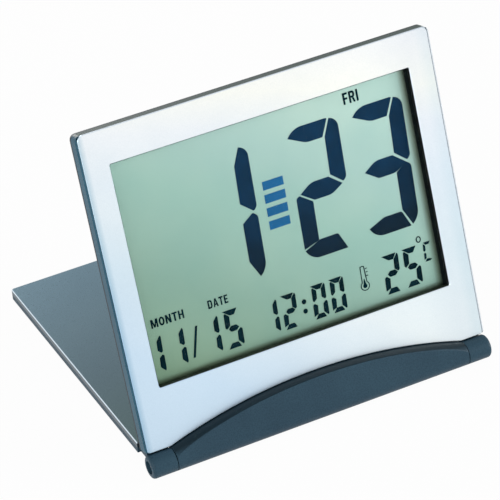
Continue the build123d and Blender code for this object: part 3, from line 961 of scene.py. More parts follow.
LARGE_BARS: dict[Bar, Outline] = {
    Bar.TOP: outline_of(
        (1.7, 43.6), (8.2, 40.4, 1.2), (14.4, 40.4), (17.2, 46.3), (16.6, 46.55), (4.6, 46.55, 2.6)
    ),
    Bar.UPPER_RIGHT: outline_of(
        (15.2, 40.2), (14.5, 27.0), (18.9, 23.3, 0.4), (20.3, 24.6, 0.8), (21.0, 45.5, 2.9), (17.9, 46.2)
    ),
    Bar.MIDDLE: outline_of(
        (2.4, 23.4), (7.2, 20.1), (13.9, 20.1, 1.4), (18.4, 22.7), (13.7, 26.45), (7.0, 26.45, 1.6)
    ),
    Bar.LOWER_RIGHT: outline_of(
        (14.1, 20.0), (13.6, 6.5), (16.6, 0.4), (19.3, 2.3, 2.9), (20.0, 21.4, 0.8), (18.3, 22.8, 0.4)
    ),
    Bar.BOTTOM: outline_of((0.1, 3.6), (2.3, 0.0, 2.9), (15.9, 0.0), (13.2, 6.1, 0.6), (6.4, 6.1)),
    Bar.LOWER_LEFT: outline_of((0.0, 4.2), (5.9, 5.9), (6.5, 19.8), (1.9, 23.1, 0.4), (0.6, 22.4, 0.5)),
}

SMALL_BARS: dict[Bar, Outline] = {
    Bar.TOP: outline_of((0.3, 14.0), (2.9, 11.95, 0.4), (4.6, 11.95), (6.0, 14.0, 0.2)),
    Bar.UPPER_RIGHT: outline_of(
        (4.5, 8.4), (5.8, 7.25, 0.2), (6.45, 7.8, 0.2), (6.7, 13.2, 0.2), (6.3, 13.75), (4.75, 11.85)
    ),
    Bar.MIDDLE: outline_of(
        (1.6, 7.1), (2.3, 6.05, 0.3), (4.5, 6.05, 0.3), (5.55, 7.05), (4.65, 8.15, 0.3), (2.5, 8.15, 0.3)
    ),
    Bar.LOWER_RIGHT: outline_of(
        (4.35, 2.25), (5.95, 0.45), (6.4, 0.95, 0.2), (6.6, 6.1, 0.2), (6.0, 6.65, 0.2), (4.65, 5.6)
    ),
    Bar.BOTTOM: outline_of((0.3, 0.0, 0.2), (5.15, 0.0), (4.2, 1.95, 0.3), (1.8, 1.95)),
    Bar.LOWER_LEFT: outline_of(
        (-0.05, 1.3), (1.85, 2.05), (2.25, 5.5), (1.0, 6.55, 0.2), (0.2, 6.0, 0.2)
    ),
    Bar.UPPER_LEFT: outline_of(
        (0.45, 7.8, 0.2), (1.0, 7.25, 0.2), (2.4, 8.4), (2.7, 11.7), (1.2, 13.1, 0.2), (0.7, 12.7)
    ),
}

CELSIUS_BARS: tuple[Outline, ...] = (
    outline_of((50.25, 42.6), (50.95, 41.6), (52.3, 41.6), (52.9, 42.6)),
    outline_of((49.8, 39.6), (50.3, 39.2), (50.75, 39.7), (50.85, 41.35), (50.05, 42.2)),
    outline_of((49.7, 36.3), (50.6, 36.85), (50.75, 38.4), (50.3, 38.9), (49.85, 38.5)),
    outline_of((49.95, 35.6), (52.0, 35.6), (52.6, 36.05), (51.5, 36.55), (50.55, 36.55)),
)


@dataclass(frozen=True)
class Letter:
    """Plain narrow capital, drawn ten units high.

    Attributes:
        width: Width of the letter.
        strokes: Outline of each stroke.
        ring: Width of the line of a letter that is an oval ring, or 0.
    """

    width: float
    strokes: tuple[Outline, ...] = ()
    ring: float = 0.0


LETTER_HEIGHT = 10.0
LETTER_SPACE = 1.2
STEM = upright(0.0, 0.0, 2.0, 10.0)
LETTERS: dict[str, Letter] = {
    "A": Letter(
        7.0,
        (
            outline_of((0.0, 0.0), (1.95, 0.0), (3.5, 7.2), (3.5, 10.0), (2.5, 10.0)),
            outline_of((3.5, 7.2), (5.05, 0.0), (7.0, 0.0), (4.5, 10.0), (3.5, 10.0)),
            outline_of((2.4, 2.1), (4.6, 2.1), (4.24, 3.8), (2.76, 3.8)),
        ),
    ),
    "D": Letter(
        6.2,
        (
            STEM,
            upright(2.0, 8.2, 3.4, 10.0),
            upright(2.0, 0.0, 3.4, 1.8),
            upright(4.2, 2.8, 6.2, 7.2),
            outline_of((3.4, 8.2), (4.2, 7.2), (6.2, 7.2), (5.4, 9.4, 0.8), (3.4, 10.0)),
            outline_of((3.4, 0.0), (5.4, 0.6, 0.8), (6.2, 2.8), (4.2, 2.8), (3.4, 1.8)),
        ),
    ),
    "E": Letter(
        5.2,
        (STEM, upright(2.0, 8.2, 5.2, 10.0), upright(2.0, 4.2, 4.8, 5.9), upright(2.0, 0.0, 5.2, 1.8)),
    ),
    "F": Letter(5.0, (STEM, upright(2.0, 8.2, 5.0, 10.0), upright(2.0, 4.0, 4.6, 5.7))),
    "H": Letter(6.2, (STEM, upright(4.2, 0.0, 6.2, 10.0), upright(2.0, 4.2, 4.2, 5.9))),
    "I": Letter(2.0, (STEM,)),
    "M": Letter(
        8.0,
        (
            upright(0.0, 0.0, 1.8, 10.0),
            upright(6.2, 0.0, 8.0, 10.0),
            outline_of((1.8, 5.4), (3.2, 0.4), (4.0, 0.4), (4.0, 3.4), (2.4, 10.0), (1.8, 10.0)),
            outline_of((4.0, 0.4), (4.8, 0.4), (6.2, 5.4), (6.2, 10.0), (5.6, 10.0), (4.0, 3.4)),
        ),
    ),
    "N": Letter(
        6.4,
        (
            STEM,
            upright(4.4, 0.0, 6.4, 10.0),
            outline_of((2.0, 5.4), (4.4, 0.0), (4.4, 4.6), (2.0, 10.0)),
        ),
    ),
    "O": Letter(6.4, (), 1.9),
    "R": Letter(
        6.3,
        (
            STEM,
            upright(2.0, 8.2, 3.6, 10.0),
            upright(2.0, 4.1, 3.6, 5.8),
            upright(4.0, 6.3, 6.0, 7.8),
            outline_of((3.6, 8.2), (4.0, 7.8), (6.0, 7.8), (5.4, 9.6, 0.6), (3.6, 10.0)),
            outline_of((3.6, 4.1), (5.2, 4.5), (6.0, 6.3), (4.0, 6.3), (3.6, 5.8)),
            outline_of((4.3, 0.0), (6.3, 0.0), (4.8, 4.4), (3.6, 4.1), (2.9, 4.1)),
        ),
    ),
    "T": Letter(6.0, (upright(0.0, 8.2, 6.0, 10.0), upright(2.0, 0.0, 4.0, 8.2))),
}


@dataclass(frozen=True)
class Digit:
    """One digit of the display.

    Attributes:
        value: Digit that is shown.
        x: Left of its cell.
        y: Foot of its cell.
        scale: Scale of its bars.
    """

    value: str
    x: float
    y: float
    scale: float = 1.0


@dataclass(frozen=True)
class Word:
    """Generic word of the display.

    Attributes:
        text: Word that is shown.
        x: Left edge.
        y: Foot of the letters.
        width: Width of the word.
        height: Height of the capitals.
    """

    text: str
    x: float
    y: float
    width: float
    height: float


@dataclass(frozen=True)
class Flask:
    """Round flask with a long neck, as an outline or filled.

    Attributes:
        radius: Radius of the round part.
        neck: Height of the neck's end over the middle of the round part.
        half_neck: Half width of the neck's end.
        line: Width of the outline, or 0 for a filled shape.
    """

    radius: float
    neck: float
    half_neck: float
    line: float


@dataclass
class DisplayMarks:
    """Digits, words and signs that the display shows.

    Attributes:
        frame: Case frame.
        depth: Place of the marks behind the face, on the display's rear glass.
        thickness: Thickness of a mark.
        shift: How far all marks are moved across and up the display.
        time: Large digits.
        seconds_bars: Number of bars between hours and minutes.
        seconds_at: Lower left corner of the lowest bar.
        seconds_size: Width and height of a bar.
        seconds_step: Step from one bar to the next.
        date: Digits of month and day.
        date_stroke: Outline of the stroke between them.
        alarm: Digits of the alarm's time.
        colon_at: Middle of the upper dot between the alarm's hours and minutes.
        colon_size: Half width and half height of a dot.
        colon_step: Step from the upper dot to the lower one.
        degrees: Digits of the temperature.
        ring_at: Middle of the degree ring.
        ring_size: Half width and half height of the ring.
        ring_line: Width of its line.
        bulb_at: Middle of the thermometer's bulb.
        glass: Outline of the thermometer.
        bulb: Filled bulb inside it.
        mark: Lowest mark of its scale.
        mark_steps: Heights of the other marks over the lowest one.
        words: Words over the digits.
    """

    frame: CaseFrame
    depth: float = -3.46
    thickness: float = 0.03
    shift: Span = (0.22, 0.11)
    time: tuple[Digit, ...] = (Digit("1", -27.6, 50.0), Digit("2", 6.6, 50.0), Digit("3", 31.4, 50.0))
    seconds_bars: int = 4
    seconds_at: Span = (-4.3, 64.9)
    seconds_size: Span = (7.8, 3.05)
    seconds_step: Span = (0.13, 4.68)
    date: tuple[Digit, ...] = (
        Digit("1", -57.0, 29.2, 0.95),
        Digit("1", -48.8, 29.2, 0.95),
        Digit("1", -35.8, 29.2, 0.95),
        Digit("5", -27.9, 29.0, 0.98),
    )
    date_stroke: Outline = outline_of((-40.85, 30.5), (-39.95, 30.5), (-37.1, 41.2), (-38.0, 41.2))
    alarm: tuple[Digit, ...] = (
        Digit("1", -13.2, 29.0, 0.86),
        Digit("2", -6.1, 28.8, 0.88),
        Digit("0", 5.3, 28.8, 0.87),
        Digit("0", 12.4, 28.8, 0.87),
    )
    colon_at: Span = (2.45, 36.5)
    colon_size: Span = (0.85, 0.9)
    colon_step: Span = (-0.1, -3.4)
    degrees: tuple[Digit, ...] = (Digit("2", 33.4, 28.6), Digit("5", 41.3, 28.6))
    ring_at: Span = (48.75, 44.3)
    ring_size: Span = (1.0, 1.2)
    ring_line: float = 0.42
    bulb_at: Span = (25.9, 34.6)
    glass: Flask = Flask(radius=1.75, neck=7.3, half_neck=0.95, line=0.34)
    bulb: Flask = Flask(radius=0.8, neck=2.6, half_neck=0.16, line=0.0)
    mark: Outline = upright(26.95, 37.9, 27.75, 38.2)
    mark_steps: Span = (1.3, 2.6)
    words: tuple[Word, ...] = (
        Word("FRI", 31.0, 98.8, 5.8, 4.1),
        Word("MONTH", -53.1, 45.3, 12.2, 3.1),
        Word("DATE", -31.9, 45.3, 7.5, 3.0),
    )

    def build(self) -> None:
        """Model all marks, and set each group on the case."""
        large = self.patterns("large", LARGE_BARS)
        small = self.patterns("small", SMALL_BARS)
        letters = {letter: self.letter(shape) for letter, shape in LETTERS.items()}
        # Painted shade: the large digits grow darker and greyer towards their foot.
        low_shade = LightWash(self.frame.stretch(-self.frame.up, -76.0, -50.0), (255, 200, 178))
        crystal = DisplayInk("crystal_dark", (28, 64, 96), (26, 56, 82), (low_shade,))
        lower = DisplayInk("crystal_dark_low", (16, 46, 56), (12, 36, 43))
        filter_blue = DisplayInk("filter_blue", (48, 120, 176), (44, 110, 162))
        self.keep("time_digits", self.digits(large, self.time), crystal)
        self.keep("seconds_bars", self.seconds(), filter_blue)
        self.keep("date_digits", [*self.digits(small, self.date), self.stroke()], lower)
        self.keep("alarm_digits", [*self.digits(small, self.alarm), *self.colon()], lower)
        self.keep("degree_digits", [*self.digits(small, self.degrees), *self.celsius()], lower)
        self.keep("thermometer_sign", self.thermometer(), lower)
        for word in self.words:
            self.keep(f"word_{word.text.lower()}", self.word(word, letters), lower)
        erased([*large.values(), *small.values(), *letters.values()])

    def keep(self, name: str, parts: Sequence[bpy.types.Object], ink: DisplayInk) -> None:
        """Join flat plates into one piece, set it in the display and dress it."""
        set_on_case(joined(name, parts), self.frame, (*self.shift, self.depth), ink)

    def patterns(self, size: str, outlines: dict[Bar, Outline]) -> dict[Bar, bpy.types.Object]:
        """Cut one pattern for each bar of a digit.

        Args:
            size: Name of the digits' size.
            outlines: Outline of each bar.

        Returns:
            Patterns that the digits are copied from.
        """
        patterns = {}
        for bar, outline in outlines.items():
            patterns[bar] = cut_plate(f"{size}_{bar.value}", outline, self.thickness)
        return patterns

    def digits(self, bars: dict[Bar, bpy.types.Object], digits: Sequence[Digit]) -> list[bpy.types.Object]:
        """Copy the bars of each digit into place.

        Args:
            bars: One pattern for each bar.
            digits: Digits that are set.

        Returns:
            Copies in place.
        """
        return [
            copied(bars[bar], (digit.x, digit.y), (digit.scale, digit.scale))
            for digit in digits
            for bar in DIGIT_BARS[digit.value]
        ]

    def seconds(self) -> list[bpy.types.Object]:
        """Model the stack of bars between hours and minutes.

        Returns:
            The bars, the lowest one last.
        """
        left, low = self.seconds_at
        width, height = self.seconds_size
        across, up = self.seconds_step
        lean = across * height / up
        outline = outline_of(
            (left, low),
            (left + width, low),
            (left + width + lean, low + height),
            (left + lean, low + height),
        )
        first = cut_plate("seconds_bar", outline, self.thickness)
        steps = [(across * number, up * number) for number in range(1, self.seconds_bars)]
        return [*(copied(first, step) for step in steps), first]

    def stroke(self) -> bpy.types.Object:
        """Model the stroke between month and day."""
        return cut_plate("date_stroke", self.date_stroke, self.thickness)

    def colon(self) -> list[bpy.types.Object]:
        """Model the two dots between hours and minutes of the alarm."""
        dot = ring_plate("colon_dot", self.colon_at, self.colon_size, 0.0, self.thickness)
        return [dot, copied(dot, self.colon_step)]

    def celsius(self) -> list[bpy.types.Object]:
        """Model the degree ring and its letter.

        Returns:
            The bars of the letter, and the ring.
        """
        letter = [cut_plate("celsius_bar", outline, self.thickness) for outline in CELSIUS_BARS]
        ring = ring_plate("degree_ring", self.ring_at, self.ring_size, self.ring_line, self.thickness)
        return [*letter, ring]

    def thermometer(self) -> list[bpy.types.Object]:
        """Model the thermometer sign.

        Returns:
            The outline of the glass, the filled bulb and the marks of the scale.
        """
        glass = self.flask("thermometer_glass", self.glass)
        bulb = self.flask("thermometer_bulb", self.bulb)
        mark = cut_plate("thermometer_mark", self.mark, self.thickness)
        return [glass, bulb, mark, *(copied(mark, (0.0, step)) for step in self.mark_steps)]

    def flask(self, name: str, shape: Flask) -> bpy.types.Object:
        """Model one flask of the thermometer.

        Args:
            name: Name of the piece.
            shape: Sizes of the flask.

        Returns:
            The flask, with its place in its mesh.
        """
        middle = (*self.bulb_at, 0.0)
        radius = shape.radius
        deselect_all()
        bpy.ops.mesh.primitive_circle_add(
            vertices=FLASK_SIDES, radius=radius, fill_type="NGON", location=middle
        )
        flask = bpy.context.active_object
        flask.name = name
        apply_place(flask)
        bpy.ops.object.mode_set(mode="EDIT")
        bpy.ops.mesh.select_all(action="DESELECT")
        bpy.ops.mesh.select_mode(type="VERT")
        mesh = bmesh.from_edit_mesh(flask.data)
        reach = radius * NECK_SHARE
        for vertex in mesh.verts:
            vertex.select = vertex.co.y > middle[1] and abs(vertex.co.x - middle[0]) < reach
        mesh.select_flush_mode()
        bmesh.update_edit_mesh(flask.data)
        narrowing = shape.half_neck / reach
        bpy.ops.transform.resize(value=(narrowing, narrowing, 1.0), center_override=middle)
        bpy.ops.transform.translate(value=(0.0, shape.neck - radius * narrowing, 0.0))
        if shape.line:
            open_middle(shape.line)
        thicken(self.thickness)
        return flask

    def letter(self, shape: Letter) -> bpy.types.Object:
        """Model one capital at its drawing size.

        Args:
            shape: Strokes or ring of the capital.

        Returns:
            The capital, ten units high, with its foot at the origin.
        """
        parts = [cut_plate("letter_stroke", outline, self.thickness) for outline in shape.strokes]
        if shape.ring:
            half = (shape.width / 2, LETTER_HEIGHT / 2)
            parts.append(ring_plate("letter_ring", half, half, shape.ring, self.thickness))
        return joined("letter", parts)

    def word(self, word: Word, letters: dict[str, bpy.types.Object]) -> list[bpy.types.Object]:
        """Set a word in plain narrow capitals.

        Args:
            word: Word, with its place and size.
            letters: One pattern for each capital.

        Returns:
            Copies in place.
        """
        spaces = LETTER_SPACE * (len(word.text) - 1)
        across = word.width / (sum(LETTERS[letter].width for letter in word.text) + spaces)
        parts = []
        left = word.x
        for letter in word.text:
            parts.append(copied(letters[letter], (left, word.y), (across, word.height / LETTER_HEIGHT)))
            left += across * (LETTERS[letter].width + LETTER_SPACE)
        return parts


@dataclass
class WindowTrim:
    """Black lining of the window, and a dark border round the display.

    Attributes:
        frame: Case frame.
        half_width: Half width of the window.
        low: Lower edge of the window.
        high: Upper edge of the window.
        corner: Length that is rounded off at the window's corners.
        lining_wall: Wall of the lining.
        lining_back: Back of the lining, on the lens.
        lining_front: Front of the lining, just inside the face.
        border_sides: How far the border shows inside the window at both sides.
        border_foot: How far it shows at the foot.
        border_head: How far it shows at the head.
        border_line: Width of the border.
        border_back: Back of the border, on the display's rear glass.
        border_sheet: Thickness of the border.
    """

    frame: CaseFrame
    half_width: float = 55.88
    low: float = 25.82
    high: float = 105.48
    corner: float = 0.6
    lining_wall: float = 0.1
    lining_back: float = -1.99
    lining_front: float = -0.3
    border_sides: float = 0.7
    border_foot: float = -0.8
    border_head: float = 0.3
    border_line: float = 2.6
    border_back: float = -3.49
    border_sheet: float = 0.02

    def outline(self, sides: float, foot: float, head: float) -> Outline:
        """Outline of the window, drawn in at its edges.

        Args:
            sides: How far it is drawn in at both sides.
            foot: How far at the foot.
            head: How far at the head.

        Returns:
            Corners in the case frame.
        """
        side = self.half_width - sides
        low = self.low + foot
        high = self.high - head
        return outline_of(
            (-side, low, self.corner),
            (side, low, self.corner),
            (side, high, self.corner),
            (-side, high, self.corner),
        )

    def build(self) -> None:
        """Model both pieces, and set them in the window."""
        # Painted light on the lining's faces that look up, such as the lower wall of the window.
        shelf_light = FacingShading((44, 53, 42), tuple(self.frame.up))
        black = MouldedPlastic("lining_black", (18, 20, 21), (12, 14, 15), 0.6, facing_shadings=(shelf_light,))
        ink = DisplayInk("border_black", (38, 48, 48), (30, 38, 38))
        height = self.lining_front - self.lining_back
        lining = cut_border("window_lining", self.outline(0.0, 0.0, 0.0), self.lining_wall, height)
        printed = self.outline(
            self.border_sides - self.border_line,
            self.border_foot - self.border_line,
            self.border_head - self.border_line,
        )
        border = cut_border("display_border", printed, self.border_line, self.border_sheet)
        set_on_case(lining, self.frame, (0.0, 0.0, self.lining_back), black)
        set_on_case(border, self.frame, (0.0, 0.0, self.border_back), ink)


def set_on_case(piece: bpy.types.Object, frame: CaseFrame, at: Triple, finish: Finish) -> None:
    """Set a flat drawn piece on the case and dress it.

    Args:
        piece: Piece drawn in the case frame, in millimetres.
        frame: Case frame.
        at: Where the origin of its drawing goes, in the case frame.
        finish: Finish of the piece.
    """
    piece.matrix_world = frame.place() @ Matrix.Translation(at)
    apply_place(piece)
    dress(piece, finish)
    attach(piece, Body.CASE.value)
    LOG.info("%s: %d faces", piece.name, len(piece.data.polygons))


# Sub-assemblies of the frame


@dataclass
class Assembly:
    """Group of CAD nodes and the finish of each.

    Attributes:
        title: Name for the log.
        finishes: Finish of each node, by the node's name.
    """

    title: str
    finishes: dict[str, Finish]

    def dress(self, nodes: dict[str, bpy.types.Object]) -> None:
        """Dress the nodes of this group.

        Args:
            nodes: All nodes of the frame, by name.
        """
        for name, finish in self.finishes.items():
            dress(nodes[name], finish)
            LOG.info("%s: %s in %s", self.title, name, finish.name)


class ClockCase(Assembly):
    """Case with its face, frame and rear cover, and the hinge's spine."""

    # Painted reflection of the satin face: lighter towards the top, with a warm painted highlight high up.
    FACE_REFLECTION_STOPS: Stops = (
        (0.0, (231, 238, 239)),
        (0.28, (231, 239, 241)),
        (0.45, (224, 236, 240)),
        (0.65, (227, 236, 242)),
        (0.77, (236, 240, 243)),
        (0.86, (246, 246, 239)),
        (1.0, (236, 237, 239)),
    )

    def __init__(self, frame: CaseFrame) -> None:
        """Choose the finishes.

        Args:
            frame: Case frame, for the side that the face looks to.
        """
        up = tuple(frame.up)
        steel = PlatedMetal("zinc_steel", (205, 207, 208), (170, 173, 176), 0.32)
        cover = MouldedPlastic("cover_plastic", (44, 54, 61), (36, 45, 51), 0.5)
        # Painted shade on the faces that look up the case: the strip along the spine's arch and the frame's
        # top band.
        spine_top_shade = FacingShading((9, 34, 44), up, (0.45, 0.8))
        frame_top_shade = FacingShading((27, 57, 51), up)
        # Painted highlight on the frame's lip, on its right side only.
        lip = (frame.normal * 0.85 + frame.right * 0.53).normalized()
        lip_highlight = FacingShading((226, 234, 240), tuple(lip), (0.55, 0.8), frame.stretch(frame.right, 45.0, 60.0))
        rim_shadings = (frame_top_shade, lip_highlight)
        super().__init__(
            "case",
            {
                "face_plate": self.face(frame),
                "front_frame": MouldedPlastic(
                    "frame_plastic", (63, 109, 129), (54, 97, 116), 0.46, facing_shadings=rim_shadings
                ),
                "hinge_spine": MouldedPlastic(
                    "spine_plastic", (52, 80, 96), (43, 69, 84), 0.46, facing_shadings=(spine_top_shade,)
                ),
                "rear_cover": cover,
                "battery_door": cover,
                "case_screws": steel,
                "spine_screws": steel,
                "hinge_bushes": MouldedPlastic("acetal", (226, 226, 220), (214, 214, 208), 0.4, 0.008),
            },
        )

    def face(self, frame: CaseFrame) -> SatinSheet:
        """Choose the finish of the face.

        Args:
            frame: Case frame, for the ways along which the painted reflection and shade run.

        Returns:
            Finish of the face plate.
        """
        light_drift = (frame.right * 0.25 + frame.up * 0.97).normalized()
        low_left = frame.right * -0.6 - frame.up * 0.8
        # Painted reflection: cooler towards the lower left corner.
        corner_reflection = LightWash(frame.stretch(low_left, -35.0, 5.0), (226, 240, 255))
        # Painted shade towards the right side, and on the rounded rims at both sides.
        right_shade = LightWash(frame.stretch(frame.right, 45.0, 57.0), (247, 248, 250))
        right_rim_shade = LightWash(frame.stretch(frame.right, 59.5, 63.0), (246, 250, 251))
        left_rim_shade = LightWash(frame.stretch(-frame.right, 62.8, 65.1), (203, 222, 230))
        return SatinSheet(
            "face_satin",
            self.FACE_REFLECTION_STOPS,
            # Painted highlight on the plate's edges, painted shade on its sides.
            edge=(214, 224, 232),
            side=(150, 160, 168),
            roughness=0.36,
            outward=tuple(frame.normal),
            light_drift=frame.stretch(light_drift, -10.0, 130.0),
            light_washes=(corner_reflection, right_shade, right_rim_shade, left_rim_shade),
        )


class Keys(Assembly):
    """Keys and alarm switch on the back."""

    def __init__(self) -> None:
        """Choose the finishes."""
        cap = MouldedPlastic("key_plastic", (146, 156, 166), (132, 142, 152), 0.42, 0.01)
        knob = MouldedPlastic("knob_plastic", (168, 176, 184), (150, 158, 168), 0.4, 0.01)
        names = ("mode_button", "set_button", "snooze_button", "down_button", "up_button")
        super().__init__("keys", {**{name: cap for name in names}, "alarm_switch": knob})


class Display(Assembly):
    """Lens, glasses, reflector, foam and connector of the display."""

    # Painted light on the reflector foil: darker at the lower left, lighter towards the upper right.
    FOIL_LIGHT_STOPS: Stops = (
        (0.0, (135, 167, 143)),
        (0.15, (148, 181, 163)),
        (0.3, (154, 188, 174)),
        (0.45, (162, 198, 187)),
        (0.6, (170, 207, 197)),
        (0.8, (184, 216, 210)),
        (1.0, (197, 226, 218)),
    )
    PANES = ("display_lens", "lcd_front_glass")
    # How far the corners of a pane are drawn in, and the gap that is closed at its seams, in millimetres.
    AIR_GAP = 0.03
    SEAM = 0.001

    def __init__(self, frame: CaseFrame) -> None:
        """Choose the finishes.

        Args:
            frame: Case frame, for the ways that the painted light and wall shadows on the reflector run.
        """
        # Way along which the painted light runs across the foil.
        light_drift = (frame.right * 0.5 + frame.up * 0.87).normalized()
        # Painted shadows of the window's right and lower walls on the foil.
        right_wall_shadow = frame.stretch(frame.right, 52.5, 56.0)
        low_wall_shadow = frame.stretch(-frame.up, -27.5, -24.6)
        foil = DisplayFoil(
            "reflector_foil", self.FOIL_LIGHT_STOPS, frame.stretch(light_drift, 0.0, 100.0), (right_wall_shadow, low_wall_shadow)
        )
        super().__init__(
            "display",
            {
                "display_lens": ClearSheet("lens_clear", (36, 44, 44), (26, 32, 32), 0.015, 1.49),
                "lcd_front_glass": ClearSheet("display_glass", (40, 54, 48), (30, 42, 38), 0.012, 1.5),
                "lcd_rear_glass": foil,
                "lcd_reflector": foil,
                "lcd_foam": SoftRubber("black_foam", (34, 34, 35), (20, 20, 21), 2600.0, 0.05),
                "connector_strip": SoftRubber("connector_rubber", (66, 62, 60), (40, 38, 38), 1200.0, 0.02),
            },
        )

    def dress(self, nodes: dict[str, bpy.types.Object]) -> None:
        """Dress the nodes, and part the clear panes by a hair of air.

        Args:
            nodes: All nodes of the frame, by name.
        """
        super().dress(nodes)
        for name in self.PANES:
            closed = nodes[name].modifiers.new("closed", "WELD")
            closed.merge_threshold = self.SEAM * MM
            gap = nodes[name].modifiers.new("air_gap", "DISPLACE")
            gap.mid_level = 0.0
            gap.strength = -self.AIR_GAP * MM


class Works(Assembly):
    """Board, cell, contacts and buzzer inside the case."""

    def __init__(self) -> None:
        """Choose the finishes."""
        steel = PlatedMetal("contact_steel", (214, 215, 214), (182, 184, 184), 0.28)
        brass = PlatedMetal("buzzer_brass", (208, 172, 92), (182, 146, 72), 0.34)
        silvered = PlatedMetal("silvered_ceramic", (222, 218, 206), (204, 200, 188), 0.45)
        resin = MouldedPlastic("black_resin", (26, 26, 28), (18, 18, 20), 0.3, 0.01)
        board = MouldedPlastic("board_lacquer", (34, 104, 62), (26, 88, 52), 0.36, 0.006)
        super().__init__(
            "works",
            {
                "circuit_board": board,
                "board_screws": steel,
                "chip_cover": resin,
                "small_chips": resin,
                "temperature_sensor": resin,
                "crystal": steel,
                "coin_cell": steel,
                "battery_leaf_minus": steel,
                "battery_clip_plus": steel,
                "switch_housing": steel,
                "buzzer_disc": brass,
                "buzzer_ceramic": silvered,
                "buzzer_contacts": steel,
                "keypad": SoftRubber("keypad_rubber", (58, 60, 62), (44, 46, 48), 1500.0, 0.02),
            },
        )


class Lid(Assembly):
    """Lid that is the stand, with its pins and pads."""

    # Painted reflection on the lid's satin sheet: darker towards the hinge, lighter and bluer towards its
    # far edge.
    LID_REFLECTION_STOPS: Stops = ((0.0, (81, 99, 100)), (0.4, (87, 106, 114)), (1.0, (99, 123, 135)))
    OUTWARD: Triple = (0.0, 0.0403, 0.9992)
    LIGHT_DRIFT = Stretch((0.0, 1.0, 0.0), -0.045, 0.06)

    def __init__(self) -> None:
        """Choose the finishes."""
        sheet = SatinSheet(
            "lid_satin",
            self.LID_REFLECTION_STOPS,
            # Painted highlight on the sheet's chamfered edges, painted shade on its sides.
            edge=(214, 228, 238),
            side=(66, 82, 92),
            roughness=0.3,
            outward=self.OUTWARD,
            light_drift=self.LIGHT_DRIFT,
        )
        super().__init__(
            "lid",
            {
                "lid_plate": sheet,
                "lid_base": MouldedPlastic("lid_plastic", (53, 82, 98), (44, 71, 86), 0.46),
                "hinge_pins": PlatedMetal("pin_steel", (205, 207, 208), (170, 173, 176), 0.3),
                "lid_pads": SoftRubber("pad_rubber", (44, 45, 46), (30, 31, 32), 1600.0, 0.04),
            },
        )


# Studio


@dataclass(frozen=True)
class Lamp:
    """Soft square lamp.

    Attributes:
        name: Name of the lamp.
        place: Place in metres.
        size: Side of the lamp in metres.
        power: Power in watts.
    """

    name: str
    place: Triple
    size: float
    power: float


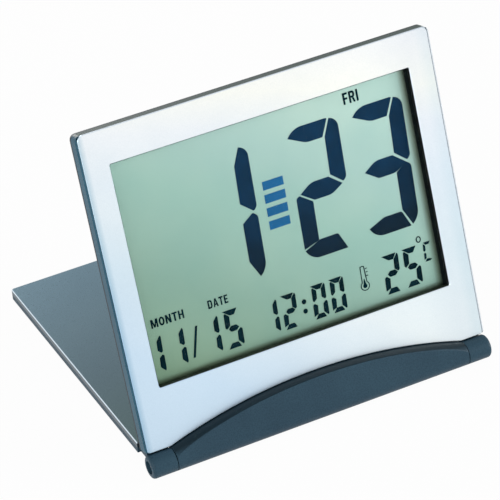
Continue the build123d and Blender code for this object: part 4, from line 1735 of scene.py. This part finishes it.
@dataclass
class Studio:
    """Floor, surroundings, lamps and camera.

    Attributes:
        case: Case frame, which the camera is placed from.
        floor_size: Side of the floor, in metres.
        floor_level: Share of light that the floor gives back.
        floor_roughness: Roughness of the floor.
        sky_level: Level of the light from all round.
        sky_colour: Linear colour of that light.
        shown_share: Share of plain white in the floor as it is seen.
        lamps: Main lamp, second lamp and the lamp behind the clock.
        lamp_aim: Point that all lamps look at, in metres.
        eye: Place of the camera, in millimetres in the case frame.
        eye_right: Direction to the right in the picture, in the case frame.
        eye_up: Direction upwards in the picture, in the case frame.
        lens: Focal length, in millimetres.
        sensor: Width of the sensor, in millimetres.
        near: Distance where the camera starts to see, in metres.
    """

    case: CaseFrame
    floor_size: float = 6.0
    floor_level: float = 0.9
    floor_roughness: float = 0.9
    sky_level: float = 0.3
    sky_colour: Triple = (0.97, 0.985, 1.0)
    shown_share: float = 0.97
    lamps: tuple[Lamp, ...] = (
        Lamp("key_lamp", (1.35, -0.75, 0.42), 0.8, 15.0),
        Lamp("fill_lamp", (-1.2, -0.7, 0.5), 0.9, 8.0),
        Lamp("back_lamp", (0.0, 1.1, 0.2), 0.4, 5.0),
    )
    lamp_aim: Triple = (0.0, -0.03, 0.05)
    eye: Triple = (-351.78, 374.451, 873.366)
    eye_right: Triple = (0.8893766, -0.194794, 0.4135995)
    eye_up: Triple = (0.3032902, 0.9283372, -0.2149537)
    lens: float = 212.284
    sensor: float = 36.0
    near: float = 0.01

    def build(self) -> None:
        """Set up the whole studio."""
        self.floor()
        self.surroundings()
        for lamp in self.lamps:
            self.hang(lamp)
        self.camera()
        bpy.context.scene.view_settings.view_transform = "Standard"

    def seen(self, tree: bpy.types.NodeTree, share: float) -> Socket:
        """Share of plain white for rays that show the background in the picture, in metal or through glass.

        Args:
            tree: Node tree that gets the nodes.
            share: Share of white that the camera sees; metal and glass see plain white.

        Returns:
            Factor socket.
        """
        path = tree.nodes.new("ShaderNodeLightPath").outputs
        factor = value_of(tree, "MULTIPLY", path["Is Camera Ray"], share)
        for name in ("Is Glossy Ray", "Is Transmission Ray"):
            factor = value_of(tree, "MAXIMUM", factor, path[name])
        # A ray that has left a matt surface carries light, so it isn't one of these.
        unlit = value_of(tree, "LESS_THAN", path["Diffuse Depth"], 0.5)
        return value_of(tree, "MULTIPLY", factor, unlit)

    def show_white(self, tree: bpy.types.NodeTree, share: float, lit: Socket, white: Socket) -> None:
        """Join lighting and plain white into the surface that a tree puts out.

        Args:
            tree: Node tree of the floor or of the surroundings.
            share: Share of white that the camera sees.
            lit: Shader socket for the rays that carry light.
            white: Shader socket for the rays that show the background.
        """
        mix = tree.nodes.new("ShaderNodeMixShader")
        tree.links.new(self.seen(tree, share), mix.inputs["Fac"])
        tree.links.new(lit, mix.inputs[1])
        tree.links.new(white, mix.inputs[2])
        tree.links.new(mix.outputs["Shader"], tree.get_output_node("ALL").inputs["Surface"])

    def floor(self) -> None:
        """Lay a plain white floor that keeps the clock's shadow."""
        deselect_all()
        bpy.ops.mesh.primitive_plane_add(size=self.floor_size, location=(0.0, 0.0, 0.0))
        floor = bpy.context.active_object
        floor.name = "studio_floor"
        material = bpy.data.materials.new("studio_white")
        material.use_nodes = True
        tree = material.node_tree
        surface = tree.nodes["Principled BSDF"]
        level = self.floor_level
        surface.inputs["Base Color"].default_value = (level, level, level, 1.0)
        surface.inputs["Roughness"].default_value = self.floor_roughness
        surface.inputs["Specular IOR Level"].default_value = 0.0
        white = tree.nodes.new("ShaderNodeEmission")
        self.show_white(tree, self.shown_share, surface.outputs["BSDF"], white.outputs["Emission"])
        floor.data.materials.append(material)

    def surroundings(self) -> None:
        """Light the clock from all round, before a white background."""
        world = bpy.data.worlds.new("studio_world")
        world.use_nodes = True
        bpy.context.scene.world = world
        tree = world.node_tree
        light = tree.nodes["Background"]
        light.inputs["Color"].default_value = (*self.sky_colour, 1.0)
        light.inputs["Strength"].default_value = self.sky_level
        white = tree.nodes.new("ShaderNodeBackground")
        white.inputs["Color"].default_value = (1.0, 1.0, 1.0, 1.0)
        self.show_white(tree, 1.0, light.outputs["Background"], white.outputs["Background"])

    def hang(self, lamp: Lamp) -> None:
        """Hang a soft lamp that looks at the clock.

        Args:
            lamp: Place, size and power of the lamp.
        """
        deselect_all()
        bpy.ops.object.light_add(type="AREA", location=lamp.place)
        hung = bpy.context.active_object
        hung.name = lamp.name
        hung.data.size = lamp.size
        hung.data.energy = lamp.power
        aim = Vector(self.lamp_aim) - Vector(lamp.place)
        hung.rotation_euler = aim.to_track_quat("-Z", "Y").to_euler()

    def camera(self) -> None:
        """Stand the camera where the photograph was taken from."""
        deselect_all()
        bpy.ops.object.camera_add(location=self.case.place() @ Vector(self.eye))
        camera = bpy.context.active_object
        camera.name = "photo_camera"
        right = Vector(self.eye_right)
        up = Vector(self.eye_up)
        turn = Matrix((right, up, right.cross(up))).transposed()
        camera.rotation_euler = (self.case.place().to_3x3().normalized() @ turn).to_euler()
        camera.data.sensor_width = self.sensor
        camera.data.lens = self.lens
        camera.data.clip_start = self.near
        bpy.context.scene.camera = camera


def main() -> None:
    """Load the frame, dress it, add the display's marks and set up the studio."""
    logging.basicConfig(level=logging.INFO, format="%(name)s: %(message)s")
    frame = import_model()
    case_frame = CaseFrame.from_joints(frame["joints"])
    assemblies: tuple[Assembly, ...] = (ClockCase(case_frame), Keys(), Display(case_frame), Works(), Lid())
    for assembly in assemblies:
        assembly.dress(frame["nodes"])
    WindowTrim(case_frame).build()
    DisplayMarks(case_frame).build()
    Studio(case_frame).build()


if __name__ == "__main__":
    main()
